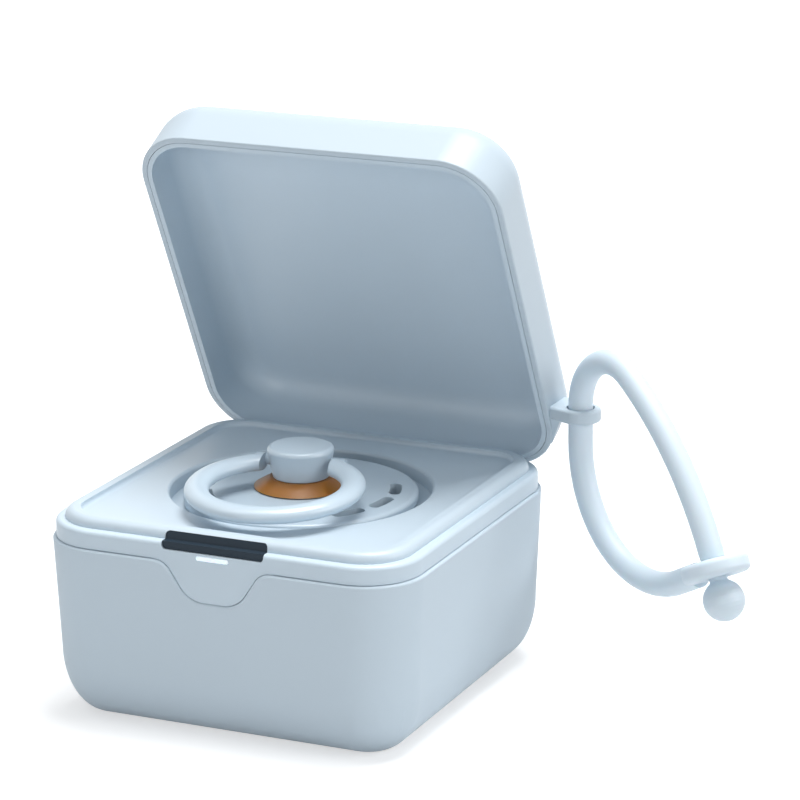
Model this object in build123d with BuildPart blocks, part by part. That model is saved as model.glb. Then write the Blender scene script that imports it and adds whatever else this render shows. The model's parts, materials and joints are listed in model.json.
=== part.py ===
"""Pacifier sterilizer case: a square box with a hinged lid, a lift-out pacifier and a carry loop.

Millimetres. +X right, +Y back, +Z up. The origin is the centre of the flat face under the base.
The lid and all that it carries are drawn shut, then turned about the hinge pin to the half-open
pose in which the case is shown. The pacifier lies in its tray.
"""

import os
from math import asin, cos, degrees, radians, sin, sqrt

from build123d import *

os.makedirs("parts", exist_ok=True)

# Case outline
case_width = 80.0
case_depth = 81.0
corner_radius = 12.4
band_height = 3.8
bottom_round_height = 13.4
bottom_round_inset = 8.0
side_draft = 1.1
sleeve_wall = 1.6
sleeve_edge_round = 0.5
shell_wall = 2.0
assembly_gap = 0.1
band_inset = 0.7
band_groove = 0.15
band_edge_round = 0.9

# Scoop in the sleeve's front edge, filled by the shell's tongue
scoop_width = 21.0
scoop_brow_width = 26.4
scoop_floor_width = 10.6
scoop_depth = 7.8
scoop_floor_round = 6.0
scoop_shoulder_round = 4.0
scoop_gap = 0.08

# Hinge
hinge_inset = 2.0
hinge_drop = 1.9
lid_rest_angle = 63.3
pin_radius = 0.75
pin_running_gap = 0.06
pin_seat_gap = 0.02
pin_end_gap = 0.8
eye_radius = 1.9
eye_width = 12.0
eye_spacing = 36.0
eye_side_gap = 0.3
eye_sweep_gap = 0.4
arm_thickness = 1.4
boss_overhang = 4.0
boss_wall = 1.4
boss_drop = 3.4
boss_deck_gap = 0.2
hinge_relief_gap = 0.15

# Lid
parting_gap = 0.3
lid_height = 15.5
lid_edge_round = 7.4
lid_side_wall = 1.2
lid_top_wall = 1.6
liner_wall = 1.0
liner_top_wall = 1.2
rim_edge_round = 0.35
magnet_length = 16.0
magnet_thickness = 2.4
magnet_height = 3.6
magnet_rise = 4.2
magnet_cover = 0.9

# Tray
deck_inset = 2.6
deck_rim_height = 2.0
deck_edge_round = 1.8
deck_lip = 1.3
deck_floor_drop = 1.1
deck_floor_round = 0.7
deck_plug_depth = 1.2
recess_radius = 26.6
recess_wall = 1.5
shield_sink = 0.6
recess_floor_thickness = 1.6
recess_edge_round = 0.7
well_opening_radius = 20.4

# Well cup and ultraviolet stack
cup_inner_radius = 19.0
cup_wall = 1.4
cup_flange_radius = 25.0
cup_flange_thickness = 1.5
uv_seat_height = 1.2
cup_floor_thickness = 1.5
cup_floor_round = 4.0
window_lip_radius = 6.4
window_radius = 7.5
window_thickness = 1.0
window_lip_thickness = 0.7
skirt_wall = 1.5
seal_height = 2.2
seal_inner_radius = 6.5
uv_board_thickness = 1.2
emitter_size = 3.0
emitter_height = 1.0
emitter_ring_radius = 3.2
emitter_count = 3

# Pacifier
shield_radius = 23.8
shield_edge_thickness = 2.5
shield_crown = 1.0
shield_edge_round = 1.0
vent_radius = 19.2
vent_width = 2.4
vent_span = 15.0
vent_spacing = 28.0
vent_middle_angle = -7.0
vents_per_side = 3
knob_height = 6.3
knob_top_radius = 7.0
knob_base_radius = 5.7
knob_edge_round = 0.9
stem_radius = 3.6
stem_length = 7.0
collar_base_radius = 9.6
collar_top_radius = 6.3
collar_height = 1.9
neck_radius = 5.2
inner_flange_radius = 8.6
inner_flange_thickness = 1.3
teat_neck_radius = 4.6
bulb_radius = 8.0
teat_length = 25.5
tip_gap = 2.7
teat_wall = 1.4
silicone_gap = 0.1
ring_middle_radius = 15.6
ring_width = 5.0
ring_height = 3.3
ring_tilt = 3.0
ring_turn = 6.5
ring_drop = 3.4
ring_knob_gap = 0.3
ring_pin_radius = 1.2
ring_pin_depth = 2.8
ring_pin_root = 2.2
ring_pin_gap = 0.07

# Front catch, light and sensor
slot_width = 22.2
slot_height = 3.2
slot_rise = 1.6
slot_corner_round = 0.9
keeper_gap = 0.1
keeper_setback = 0.45
keeper_slope = 0.5
light_width = 7.0
light_height = 0.9
light_drop = 0.45
light_flange = 0.7
light_flange_thickness = 0.8
led_width = 3.2
led_height = 1.6
led_depth = 1.0
led_board_width = 14.0
led_board_height = 6.0
led_board_thickness = 1.0
sensor_width = 4.0
sensor_depth = 3.0
sensor_height = 1.5
sensor_offset = 4.2

# Power and control
cell_length = 36.0
cell_thickness = 8.5
cell_height = 23.0
cell_inset = 5.9
pad_thickness = 1.0
cradle_height = 3.6
cradle_end_inset = 2.0
board_width = 40.0
board_height = 21.0
board_thickness = 1.6
board_slot_gap = 0.1
board_slot_depth = 1.5
board_rail_height = 5.0
board_rail_wall = 1.2
board_rail_length = 30.0
usb_width = 9.0
usb_height = 3.2
usb_length = 7.4
usb_wall = 0.35
usb_tongue_thickness = 0.7
usb_centre_height = 19.0
usb_setback = 1.3
usb_cavity_depth = 6.2
usb_tongue_margin = 1.2
usb_port_gap = 0.15
sleeve_port_margin = 0.6
chip_size = 7.0
chip_thickness = 1.2
chip_offset = 9.0

# Screws under the tray
screw_spacing_x = 49.0
screw_spacing_y = 50.0
screw_radius = 1.0
screw_length = 9.0
screw_head_radius = 1.9
screw_head_height = 1.4
screw_gap = 0.05
post_radius = 3.4
post_roof_thickness = 2.4
deck_boss_radius = 2.8
deck_boss_height = 8.0
screw_tip_gap = 1.0
driver_gap = 0.3

# Carry loop and its lug on the lid
lug_thickness = 2.8
lug_radius = 4.2
lug_reach = 6.0
lug_rise = 2.6
lug_from_hinge = 12.5
lug_lean = 27.0
lug_edge_round = 0.6
lug_root_height = 9.0
lug_root_bite = 1.0
lug_gusset_reach = 2.4
lug_gusset_length = 7.5
lug_gusset_height = 4.6
loop_tube_radius = 2.55
loop_hole_gap = 0.4
loop_swing_angle = -33.2
loop_rise = 2.2
loop_top_radius = 11.1
loop_top_fall = 31.0
loop_front_radius = 76.0
loop_front_fall = 62.9
loop_back_radius = 23.6
loop_shoulder_gap = 0.3
eyelet_radius = 6.9
eyelet_thickness = 3.6
eyelet_edge_round = 1.2
eyelet_join_reach = 6.1
eyelet_hole_gap = 0.35
loop_neck_radius = 1.8
loop_ball_radius = 4.2
loop_ball_reach = 6.4

# Places that follow from the sizes above
half_width = case_width / 2
half_depth = case_depth / 2
lid_bore_inset = lid_side_wall + assembly_gap + liner_wall
shell_inset = sleeve_wall + assembly_gap
bore_inset = shell_inset + shell_wall
shell_bottom_z = sleeve_wall + assembly_gap
floor_z = shell_bottom_z + shell_wall
uv_board_bottom_z = floor_z + uv_seat_height
uv_board_top_z = uv_board_bottom_z + uv_board_thickness
window_bottom_z = uv_board_top_z + seal_height
window_top_z = window_bottom_z + window_thickness
cup_floor_z = window_top_z + window_lip_thickness
recess_floor_z = cup_floor_z + tip_gap + teat_length
recess_under_z = recess_floor_z - recess_floor_thickness
shield_edge_z = recess_floor_z + shield_edge_thickness
deck_floor_z = shield_edge_z + shield_sink
deck_top_z = deck_floor_z + deck_floor_drop
ledge_z = deck_top_z - deck_rim_height
sleeve_top_z = ledge_z - band_height
deck_under_z = ledge_z - deck_plug_depth
deck_boss_z = deck_under_z - deck_boss_height
hinge_y = half_depth - hinge_inset
hinge_z = ledge_z - hinge_drop
rim_z = ledge_z + parting_gap
lid_top_z = rim_z + lid_height
crown_z = shield_edge_z + shield_crown
collar_z = crown_z + silicone_gap
collar_top_z = collar_z + collar_height
knob_base_z = collar_top_z + silicone_gap
knob_top_z = knob_base_z + knob_height
stem_bottom_z = knob_base_z - stem_length
ring_pivot_z = knob_top_z - ring_drop
ring_end_offset = knob_top_radius + ring_knob_gap
slot_z = ledge_z - slot_rise
light_z = slot_z - light_drop - light_height / 2
cell_bottom_z = floor_z + cradle_height + pad_thickness
cell_x = -half_width + cell_inset + cell_thickness / 2
board_back_y = half_depth - usb_setback - usb_length
board_y = board_back_y - board_thickness / 2
board_bottom_z = floor_z + board_rail_height - board_slot_depth
eye_notch_reach = eye_radius + eye_sweep_gap
boss_half_length = (eye_spacing + eye_width) / 2 + boss_overhang
screw_head_z = deck_boss_z - post_roof_thickness

# Working planes
wall_plane = Plane(origin=(half_width, 0, 0), x_dir=(-1, 0, 0), z_dir=(0, 1, 0))
front_plane = Plane(origin=(0, -half_depth, 0), x_dir=(1, 0, 0), z_dir=(0, 1, 0))
side_plane = Plane(origin=(0, 0, 0), x_dir=(0, 1, 0), z_dir=(1, 0, 0))
spin_plane = Plane(origin=(0, 0, 0), x_dir=(1, 0, 0), z_dir=(0, -1, 0))
hinge_plane = Plane(origin=(0, hinge_y, hinge_z), x_dir=(0, 1, 0), z_dir=(1, 0, 0))


def opened(piece):
    """Turns a piece of the shut lid about the hinge pin to the half-open pose."""
    return piece.rotate(Axis((0, hinge_y, hinge_z), (-1, 0, 0)), lid_rest_angle)


def save(builder, name, on_lid=False):
    """Writes one finished piece, first turning it open if it was drawn on the shut lid."""
    piece = opened(builder.part) if on_lid else builder.part
    piece.label = name
    export_step(piece, f"parts/{name}.step")


def plan_outline(inset):
    """Adds the case's rounded plan, drawn in by an inset, to the sketch in hand."""
    RectangleRounded(case_width - 2 * inset, case_depth - 2 * inset, corner_radius - inset)


def plan_slab(inset, bottom, top):
    """A flat slab with the case's plan, drawn in by an inset."""
    with BuildPart() as slab:
        with BuildSketch(Plane.XY.offset(bottom)):
            plan_outline(inset)
        extrude(amount=top - bottom)
    return slab.part


def disc(radius, bottom, top, centre=(0, 0)):
    """An upright cylinder between two heights."""
    with BuildPart() as round_slab:
        with BuildSketch(Plane.XY.offset(bottom)):
            with Locations(centre):
                Circle(radius)
        extrude(amount=top - bottom)
    return round_slab.part


def block(x_range, y_range, z_range):
    """A square-cornered block between three pairs of limits."""
    with BuildPart() as brick:
        with BuildSketch(Plane.XY.offset(z_range[0])):
            with Locations(((x_range[0] + x_range[1]) / 2, (y_range[0] + y_range[1]) / 2)):
                Rectangle(x_range[1] - x_range[0], y_range[1] - y_range[0])
        extrude(amount=z_range[1] - z_range[0])
    return brick.part


def outline_path():
    """The case's plan as a closed path from the middle of the right side, anticlockwise."""
    straight_x = half_width - corner_radius
    straight_y = half_depth - corner_radius
    with BuildLine() as path:
        Line((half_width, 0), (half_width, straight_y))
        CenterArc((straight_x, straight_y), corner_radius, 0, 90)
        Line((straight_x, half_depth), (-straight_x, half_depth))
        CenterArc((-straight_x, straight_y), corner_radius, 90, 90)
        Line((-half_width, straight_y), (-half_width, -straight_y))
        CenterArc((-straight_x, -straight_y), corner_radius, 180, 90)
        Line((-straight_x, -half_depth), (straight_x, -half_depth))
        CenterArc((straight_x, -straight_y), corner_radius, 270, 90)
        Line((half_width, -straight_y), (half_width, 0))
    return path.wire()


def soft_block(inset, bottom, top):
    """A block with the case's plan, drafted sides and a quarter ellipse round its bottom.

    The profile is drawn as (distance in from the outline, height) and run round the plan.
    """
    core_inset = side_draft + bottom_round_inset
    with BuildPart() as solid:
        with BuildSketch(wall_plane):
            with BuildLine():
                Line((core_inset, top), (inset, top))
                Line((inset, top), (inset + side_draft, bottom_round_height))
                EllipticalCenterArc(
                    (core_inset, bottom_round_height),
                    bottom_round_inset - inset,
                    bottom_round_height - bottom,
                    start_angle=180,
                    arc_size=90,
                )
                Line((core_inset, bottom), (core_inset, top))
            make_face()
        sweep(path=outline_path())
        with BuildSketch(Plane.XY.offset(bottom)):
            plan_outline(core_inset)
        extrude(amount=top - bottom)
    return solid.part


def scoop_block(gap, start_inset, end_inset, top):
    """The scoop's shape, drawn in by a gap, between two depths from the front."""
    floor = sleeve_top_z - scoop_depth + gap
    brow = sleeve_top_z + gap
    with BuildPart() as solid:
        with BuildSketch(front_plane.offset(start_inset)) as face:
            with BuildLine():
                Polyline(
                    (-scoop_brow_width / 2, -top),
                    (-scoop_brow_width / 2, -brow),
                    (gap - scoop_width / 2, -brow),
                    (gap - scoop_floor_width / 2, -floor),
                    (scoop_floor_width / 2 - gap, -floor),
                    (scoop_width / 2 - gap, -brow),
                    (scoop_brow_width / 2, -brow),
                    (scoop_brow_width / 2, -top),
                    close=True,
                )
            make_face()
            fillet(face.vertices().group_by(Axis.Y)[-1], scoop_floor_round - gap)
            shoulders = face.vertices().filter_by_position(Axis.Y, -brow - 0.01, -brow + 0.01)
            fillet(shoulders.sort_by(Axis.X)[1:-1], scoop_shoulder_round + gap)
        extrude(amount=end_inset - start_inset)
    return solid.part


def eye_notches(top):
    """The two pockets in the back edge that the lid's hinge eyes turn in."""
    half_notch = eye_width / 2 + eye_side_gap
    with BuildPart() as pockets:
        for side in (-1, 1):
            middle = side * eye_spacing / 2
            add(
                block(
                    (middle - half_notch, middle + half_notch),
                    (hinge_y - eye_notch_reach, half_depth + hinge_inset),
                    (hinge_z - eye_notch_reach, top),
                )
            )
    return pockets.part


def hinge_rod(radius, half_length, middle=0):
    """A rod along the hinge line."""
    with BuildPart() as rod:
        with BuildSketch(hinge_plane.offset(middle - half_length)):
            Circle(radius)
        extrude(amount=2 * half_length)
    return rod.part


def slot_block(gap, start_inset, end_inset):
    """The catch slot's rounded shape, drawn in by a gap, between two depths from the front."""
    with BuildPart() as solid:
        with BuildSketch(front_plane.offset(start_inset)):
            with Locations((0, -(slot_z + slot_height / 2))):
                RectangleRounded(slot_width - 2 * gap, slot_height - 2 * gap, slot_corner_round - gap)
        extrude(amount=end_inset - start_inset)
    return solid.part


def light_block(margin, start_inset, end_inset):
    """The status light's flat bar, widened by a margin, between two depths from the front."""
    height = light_height + 2 * margin
    with BuildPart() as solid:
        with BuildSketch(front_plane.offset(start_inset)):
            with Locations((0, -light_z)):
                RectangleRounded(light_width + 2 * margin, height, height * 0.45)
        extrude(amount=end_inset - start_inset)
    return solid.part


def usb_block(margin, start_y, end_y):
    """The charging socket's flat oval, widened by a margin, between two depths."""
    height = usb_height + 2 * margin
    with BuildPart() as solid:
        with BuildSketch(Plane(origin=(0, start_y, 0), x_dir=(1, 0, 0), z_dir=(0, 1, 0))):
            with Locations((0, -usb_centre_height)):
                RectangleRounded(usb_width + 2 * margin, height, height * 0.49)
        extrude(amount=end_y - start_y)
    return solid.part


def lid_block(inset, top, edge_round):
    """The shut lid's form, drawn in by an inset, with its top edge rounded."""
    with BuildPart() as solid:
        add(plan_slab(inset, rim_z, top))
        fillet(solid.faces().sort_by(Axis.Z)[-1].edges(), edge_round)
    return solid.part


def crown_height(radius):
    """Height of the shield's domed face at a distance from its middle."""
    dome_radius = (shield_radius**2 + shield_crown**2) / (2 * shield_crown)
    return crown_z - dome_radius + sqrt(dome_radius**2 - radius**2)


# Outer sleeve: the soft cover round the sides and bottom
with BuildPart() as outer_sleeve:
    add(soft_block(0, 0, sleeve_top_z))
    add(scoop_block(0, 0, bore_inset, ledge_z), mode=Mode.SUBTRACT)
    scoop_bottom_z = sleeve_top_z - scoop_depth
    high_edges = outer_sleeve.edges().filter_by(lambda e: e.center().Z > scoop_bottom_z - scoop_gap)
    cut_edges = high_edges.filter_by(
        lambda e: side_draft - half_depth < e.center().Y < 0 and abs(e.center().X) < scoop_brow_width / 2
    )
    fillet(high_edges - cut_edges, sleeve_edge_round)
    add(soft_block(sleeve_wall, sleeve_wall, sleeve_top_z), mode=Mode.SUBTRACT)
    add(eye_notches(ledge_z), mode=Mode.SUBTRACT)
    add(usb_block(sleeve_port_margin, board_back_y, half_depth), mode=Mode.SUBTRACT)
save(outer_sleeve, "outer_sleeve")

# Base shell: floor, walls, ledge, hinge boss, posts and seats
with BuildPart() as base_shell:
    add(soft_block(shell_inset, shell_bottom_z, sleeve_top_z))
    add(plan_slab(shell_inset, sleeve_top_z, ledge_z))
    add(plan_slab(band_inset, sleeve_top_z + band_groove, ledge_z))
    band_rim = base_shell.faces().sort_by(Axis.Z)[-1].edges()
    fillet(band_rim, band_edge_round)
    add(scoop_block(scoop_gap, band_inset, bore_inset, sleeve_top_z + 2 * band_groove))
    add(soft_block(bore_inset, floor_z, sleeve_top_z), mode=Mode.SUBTRACT)
    add(plan_slab(bore_inset, sleeve_top_z, ledge_z), mode=Mode.SUBTRACT)
    add(
        block(
            (-boss_half_length, boss_half_length),
            (hinge_y - eye_notch_reach - boss_wall, half_depth - shell_inset - shell_wall / 2),
            (hinge_z - boss_drop, deck_under_z - boss_deck_gap),
        )
    )
    add(eye_notches(ledge_z), mode=Mode.SUBTRACT)
    add(hinge_rod(pin_radius + pin_seat_gap, boss_half_length), mode=Mode.SUBTRACT)
    # Back edge, rounded about the hinge line so that the lid's rim swings past it
    relief_radius = hinge_drop + parting_gap - hinge_relief_gap
    with BuildPart(mode=Mode.PRIVATE) as back_relief:
        add(block((-half_width, half_width), (hinge_y, half_depth), (hinge_z, ledge_z)))
        add(hinge_rod(relief_radius, half_width), mode=Mode.SUBTRACT)
    add(back_relief.part, mode=Mode.SUBTRACT)
    add(slot_block(0, 0, bore_inset), mode=Mode.SUBTRACT)
    add(light_block(assembly_gap, 0, bore_inset), mode=Mode.SUBTRACT)
    add(usb_block(usb_port_gap, board_back_y, half_depth), mode=Mode.SUBTRACT)
    # Seat for the lamp board, cradle for the cell, rail for the main board and screw posts,
    # all trimmed to the middle of the shell's wall
    with BuildPart(mode=Mode.PRIVATE) as seats:
        add(disc(emitter_ring_radius + emitter_size, shell_bottom_z, uv_board_bottom_z))
        cell_x_range = (cell_x - cell_thickness / 2, cell_x + cell_thickness / 2)
        cradle_half = cell_length / 2 - cradle_end_inset
        cradle_top = floor_z + cradle_height
        add(block(cell_x_range, (-cradle_half, cradle_half), (shell_bottom_z, cradle_top)))
        rail_half = board_thickness / 2 + board_slot_gap + board_rail_wall
        rail_x = (-board_rail_length / 2, board_rail_length / 2)
        rail_top = floor_z + board_rail_height
        add(block(rail_x, (board_y - rail_half, board_y + rail_half), (shell_bottom_z, rail_top)))
        for spot in GridLocations(screw_spacing_x, screw_spacing_y, 2, 2):
            place = (spot.position.X, spot.position.Y)
            add(disc(post_radius, shell_bottom_z, deck_boss_z, place))
        wall_middle = shell_wall / 2
        add(
            soft_block(shell_inset + wall_middle, shell_bottom_z + wall_middle, sleeve_top_z),
            mode=Mode.INTERSECT,
        )
    add(seats.part)
    slot_half = board_thickness / 2 + board_slot_gap
    slot_y = (board_y - slot_half, board_y + slot_half)
    add(block(rail_x, slot_y, (board_bottom_z, rail_top)), mode=Mode.SUBTRACT)
    for spot in GridLocations(screw_spacing_x, screw_spacing_y, 2, 2):
        place = (spot.position.X, spot.position.Y)
        add(
            disc(screw_head_radius + driver_gap, shell_bottom_z, screw_head_z, place),
            mode=Mode.SUBTRACT,
        )
        add(disc(screw_radius + screw_gap, screw_head_z, deck_boss_z, place), mode=Mode.SUBTRACT)
save(base_shell, "base_shell")

# Tray: raised rim, sunk floor and the round recess for the pacifier's shield
with BuildPart() as tray_deck:
    add(plan_slab(deck_inset, ledge_z, deck_top_z))
    fillet(tray_deck.faces().sort_by(Axis.Z)[-1].edges(), deck_edge_round)
    add(plan_slab(bore_inset + assembly_gap, deck_under_z, ledge_z))
    add(disc(recess_radius + recess_wall, recess_under_z, ledge_z))
    floor_inset = deck_inset + deck_edge_round + deck_lip
    with BuildPart(mode=Mode.PRIVATE) as deck_pocket:
        add(plan_slab(floor_inset, deck_floor_z, deck_top_z))
        fillet(deck_pocket.faces().sort_by(Axis.Z)[0].edges(), deck_floor_round)
    add(deck_pocket.part, mode=Mode.SUBTRACT)
    add(disc(recess_radius, recess_floor_z, deck_top_z), mode=Mode.SUBTRACT)
    recess_edges = tray_deck.edges().filter_by(GeomType.CIRCLE)
    fillet(
        recess_edges.filter_by(lambda e: abs(e.radius - recess_radius) < 0.01).sort_by(Axis.Z)[-1],
        recess_edge_round,
    )
    add(disc(well_opening_radius, recess_under_z, deck_floor_z), mode=Mode.SUBTRACT)
    for spot in GridLocations(screw_spacing_x, screw_spacing_y, 2, 2):
        place = (spot.position.X, spot.position.Y)
        add(disc(deck_boss_radius, deck_boss_z, deck_under_z, place))
        add(
            disc(screw_radius + screw_gap, deck_boss_z, screw_head_z + screw_length + screw_tip_gap, place),
            mode=Mode.SUBTRACT,
        )
    add(slot_block(0, 0, bore_inset + assembly_gap), mode=Mode.SUBTRACT)
    add(eye_notches(ledge_z), mode=Mode.SUBTRACT)
save(tray_deck, "tray_deck")

# Well cup that hangs under the tray, with the window's seat in its floor
with BuildPart() as chamber_cup:
    cup_outer_radius = cup_inner_radius + cup_wall
    cup_under_z = cup_floor_z - cup_floor_thickness
    window_pocket_radius = window_radius + assembly_gap
    add(disc(cup_outer_radius, cup_under_z, recess_under_z))
    fillet(chamber_cup.edges().sort_by(Axis.Z)[0], cup_floor_round)
    add(disc(cup_flange_radius, recess_under_z - cup_flange_thickness, recess_under_z))
    add(disc(window_pocket_radius + skirt_wall, uv_board_top_z, cup_floor_z))
    with BuildPart(mode=Mode.PRIVATE) as well:
        add(disc(cup_inner_radius, cup_floor_z, recess_under_z))
        fillet(well.edges().sort_by(Axis.Z)[0], cup_floor_round)
    add(well.part, mode=Mode.SUBTRACT)
    add(disc(window_lip_radius, window_top_z, cup_floor_z), mode=Mode.SUBTRACT)
    add(disc(window_pocket_radius, uv_board_top_z, window_top_z), mode=Mode.SUBTRACT)
save(chamber_cup, "chamber_cup")

# Window over the lamps, its gasket, the lamp board and the lamps
with BuildPart() as quartz_window:
    add(disc(window_radius, window_bottom_z, window_top_z))
save(quartz_window, "quartz_window")

with BuildPart() as window_seal:
    add(disc(window_radius, uv_board_top_z, window_bottom_z))
    add(disc(seal_inner_radius, uv_board_top_z, window_bottom_z), mode=Mode.SUBTRACT)
save(window_seal, "window_seal")

with BuildPart() as uv_board:
    add(disc(window_pocket_radius + skirt_wall, uv_board_bottom_z, uv_board_top_z))
save(uv_board, "uv_board")

with BuildPart() as uv_emitters:
    with BuildSketch(Plane.XY.offset(uv_board_top_z)):
        with PolarLocations(emitter_ring_radius, emitter_count, start_angle=90):
            Rectangle(emitter_size, emitter_size)
    extrude(amount=emitter_height)
save(uv_emitters, "uv_emitters")

# Catch keeper in the front slot: flush with the band below the ledge, behind the lid's rim above
with BuildPart() as keeper_plate:
    add(slot_block(keeper_gap, band_inset + keeper_setback, bore_inset))
    step_y = -half_depth + deck_inset + keeper_gap
    with BuildSketch(side_plane.offset(-slot_width / 2)):
        with BuildLine():
            Polyline(
                (-half_depth, ledge_z),
                (step_y, ledge_z),
                (step_y + keeper_slope, slot_z + slot_height),
                (-half_depth, slot_z + slot_height),
                close=True,
            )
        make_face()
    extrude(amount=slot_width, mode=Mode.SUBTRACT)
save(keeper_plate, "keeper_plate")

# Status light: clear bar through the wall, its diode and the small board that carries both sensors
with BuildPart() as light_pipe:
    add(light_block(0, band_inset, bore_inset))
    add(light_block(light_flange, bore_inset, bore_inset + light_flange_thickness))
save(light_pipe, "light_pipe")

led_front_y = -half_depth + bore_inset + light_flange_thickness
led_board_y = led_front_y + led_depth
with BuildPart() as status_led:
    led_z = (light_z - led_height / 2, light_z + led_height / 2)
    add(block((-led_width / 2, led_width / 2), (led_front_y, led_board_y), led_z))
save(status_led, "status_led")

sensor_y = led_board_y + led_board_thickness
with BuildPart() as sensor_board:
    board_z = (deck_under_z - led_board_height, deck_under_z)
    add(block((-led_board_width / 2, led_board_width / 2), (led_board_y, sensor_y), board_z))
save(sensor_board, "sensor_board")

with BuildPart() as hall_sensor:
    sensor_x = (sensor_offset - sensor_width / 2, sensor_offset + sensor_width / 2)
    board_middle_z = deck_under_z - led_board_height / 2
    sensor_z = (board_middle_z - sensor_depth / 2, board_middle_z + sensor_depth / 2)
    add(block(sensor_x, (sensor_y, sensor_y + sensor_height), sensor_z))
save(hall_sensor, "hall_sensor")

# Cell on its foam pad
with BuildPart() as battery_cell:
    add(
        block(
            cell_x_range,
            (-cell_length / 2, cell_length / 2),
            (cell_bottom_z, cell_bottom_z + cell_height),
        )
    )
    fillet(battery_cell.edges().filter_by(Axis.Y), cell_thickness * 0.2)
save(battery_cell, "battery_cell")

with BuildPart() as battery_pad:
    add(
        block(
            (cell_x - cell_thickness / 4, cell_x + cell_thickness / 4),
            (-cradle_half, cradle_half),
            (cell_bottom_z - pad_thickness, cell_bottom_z),
        )
    )
save(battery_pad, "battery_pad")

# Main board on edge behind the well, with its control chip and the charging socket
with BuildPart() as main_board:
    board_y_range = (board_back_y - board_thickness, board_back_y)
    board_z_range = (board_bottom_z, board_bottom_z + board_height)
    add(block((-board_width / 2, board_width / 2), board_y_range, board_z_range))
save(main_board, "main_board")

with BuildPart() as control_chip:
    chip_y = board_back_y - board_thickness
    add(
        block(
            (-chip_offset - chip_size / 2, -chip_offset + chip_size / 2),
            (chip_y - chip_thickness, chip_y),
            (usb_centre_height - chip_size / 2, usb_centre_height + chip_size / 2),
        )
    )
save(control_chip, "control_chip")

with BuildPart() as usb_socket:
    socket_face_y = board_back_y + usb_length
    add(usb_block(0, board_back_y, socket_face_y))
    add(usb_block(-usb_wall, socket_face_y - usb_cavity_depth, socket_face_y), mode=Mode.SUBTRACT)
    tongue_half = usb_width / 2 - usb_tongue_margin
    tongue_z = (
        usb_centre_height - usb_tongue_thickness / 2,
        usb_centre_height + usb_tongue_thickness / 2,
    )
    tongue_y = (socket_face_y - usb_cavity_depth, socket_face_y - usb_tongue_margin)
    add(block((-tongue_half, tongue_half), tongue_y, tongue_z))
save(usb_socket, "usb_socket")

# Four screws from below into the tray's bosses
with BuildPart() as deck_screws:
    for spot in GridLocations(screw_spacing_x, screw_spacing_y, 2, 2):
        place = (spot.position.X, spot.position.Y)
        add(disc(screw_head_radius, screw_head_z - screw_head_height, screw_head_z, place))
        add(disc(screw_radius, screw_head_z, screw_head_z + screw_length, place))
save(deck_screws, "deck_screws")

# Hinge pin
with BuildPart() as hinge_pin:
    add(hinge_rod(pin_radius, boss_half_length - pin_end_gap))
save(hinge_pin, "hinge_pin")

# Lid shell, drawn shut: skin, hinge eyes and the lug for the carry loop. The lug leans, so that
# its hole stands upright when the lid is half open
lean = radians(lug_lean)
lug_y = hinge_y - lug_from_hinge
lug_middle = (half_width + lug_reach, lug_y, rim_z + lug_rise)
lug_plane = Plane(origin=lug_middle, x_dir=(1, 0, 0), z_dir=(0, -cos(lean), sin(lean)))
with BuildPart() as lid_shell:
    add(lid_block(0, lid_top_z, lid_edge_round))
    lower_rim = lid_shell.faces().sort_by(Axis.Z)[0].edges()
    fillet(lower_rim, rim_edge_round)
    add(
        lid_block(lid_side_wall, lid_top_z - lid_top_wall, lid_edge_round - lid_side_wall),
        mode=Mode.SUBTRACT,
    )
    arm_outer_y = hinge_y + eye_radius
    for side in (-1, 1):
        middle = side * eye_spacing / 2
        add(hinge_rod(eye_radius, eye_width / 2, middle))
        eye_x = (middle - eye_width / 2, middle + eye_width / 2)
        add(block(eye_x, (arm_outer_y - arm_thickness, arm_outer_y), (hinge_z, rim_z)))
        add(block(eye_x, (half_depth - lid_side_wall, arm_outer_y), (hinge_z, rim_z + lid_side_wall)))
    add(hinge_rod(pin_radius + pin_running_gap, boss_half_length), mode=Mode.SUBTRACT)
    root_x = half_width - lug_root_bite
    lug_root = -lug_reach - lug_root_bite
    root_foot = (lug_thickness / 2 * sin(lean) + rim_edge_round - lug_rise) / cos(lean)
    with BuildPart(mode=Mode.PRIVATE) as lug:
        with BuildSketch(lug_plane.offset(-lug_thickness / 2)):
            with BuildLine():
                CenterArc((0, 0), lug_radius, 0, 360)
                Line((lug_root, root_foot), (lug_root, root_foot + lug_root_height))
            make_hull()
        extrude(amount=lug_thickness)
        fillet(lug.edges().filter_by(lambda e: e.center().X > half_width), lug_edge_round)
    add(lug.part)
    with BuildSketch(Plane.XY.offset(rim_z + rim_edge_round)):
        with BuildLine():
            Polyline(
                (root_x, lug_y),
                (half_width + lug_gusset_reach, lug_y),
                (root_x, lug_y + lug_gusset_length),
                close=True,
            )
        make_face()
    extrude(amount=lug_gusset_height)
    add(
        lid_block(lid_side_wall, lid_top_z - lid_top_wall, lid_edge_round - lid_side_wall),
        mode=Mode.SUBTRACT,
    )
    with BuildSketch(lug_plane.offset(-lug_thickness / 2)):
        Circle(loop_tube_radius + loop_hole_gap)
    extrude(amount=lug_thickness, mode=Mode.SUBTRACT)
save(lid_shell, "lid_shell", on_lid=True)

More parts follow.
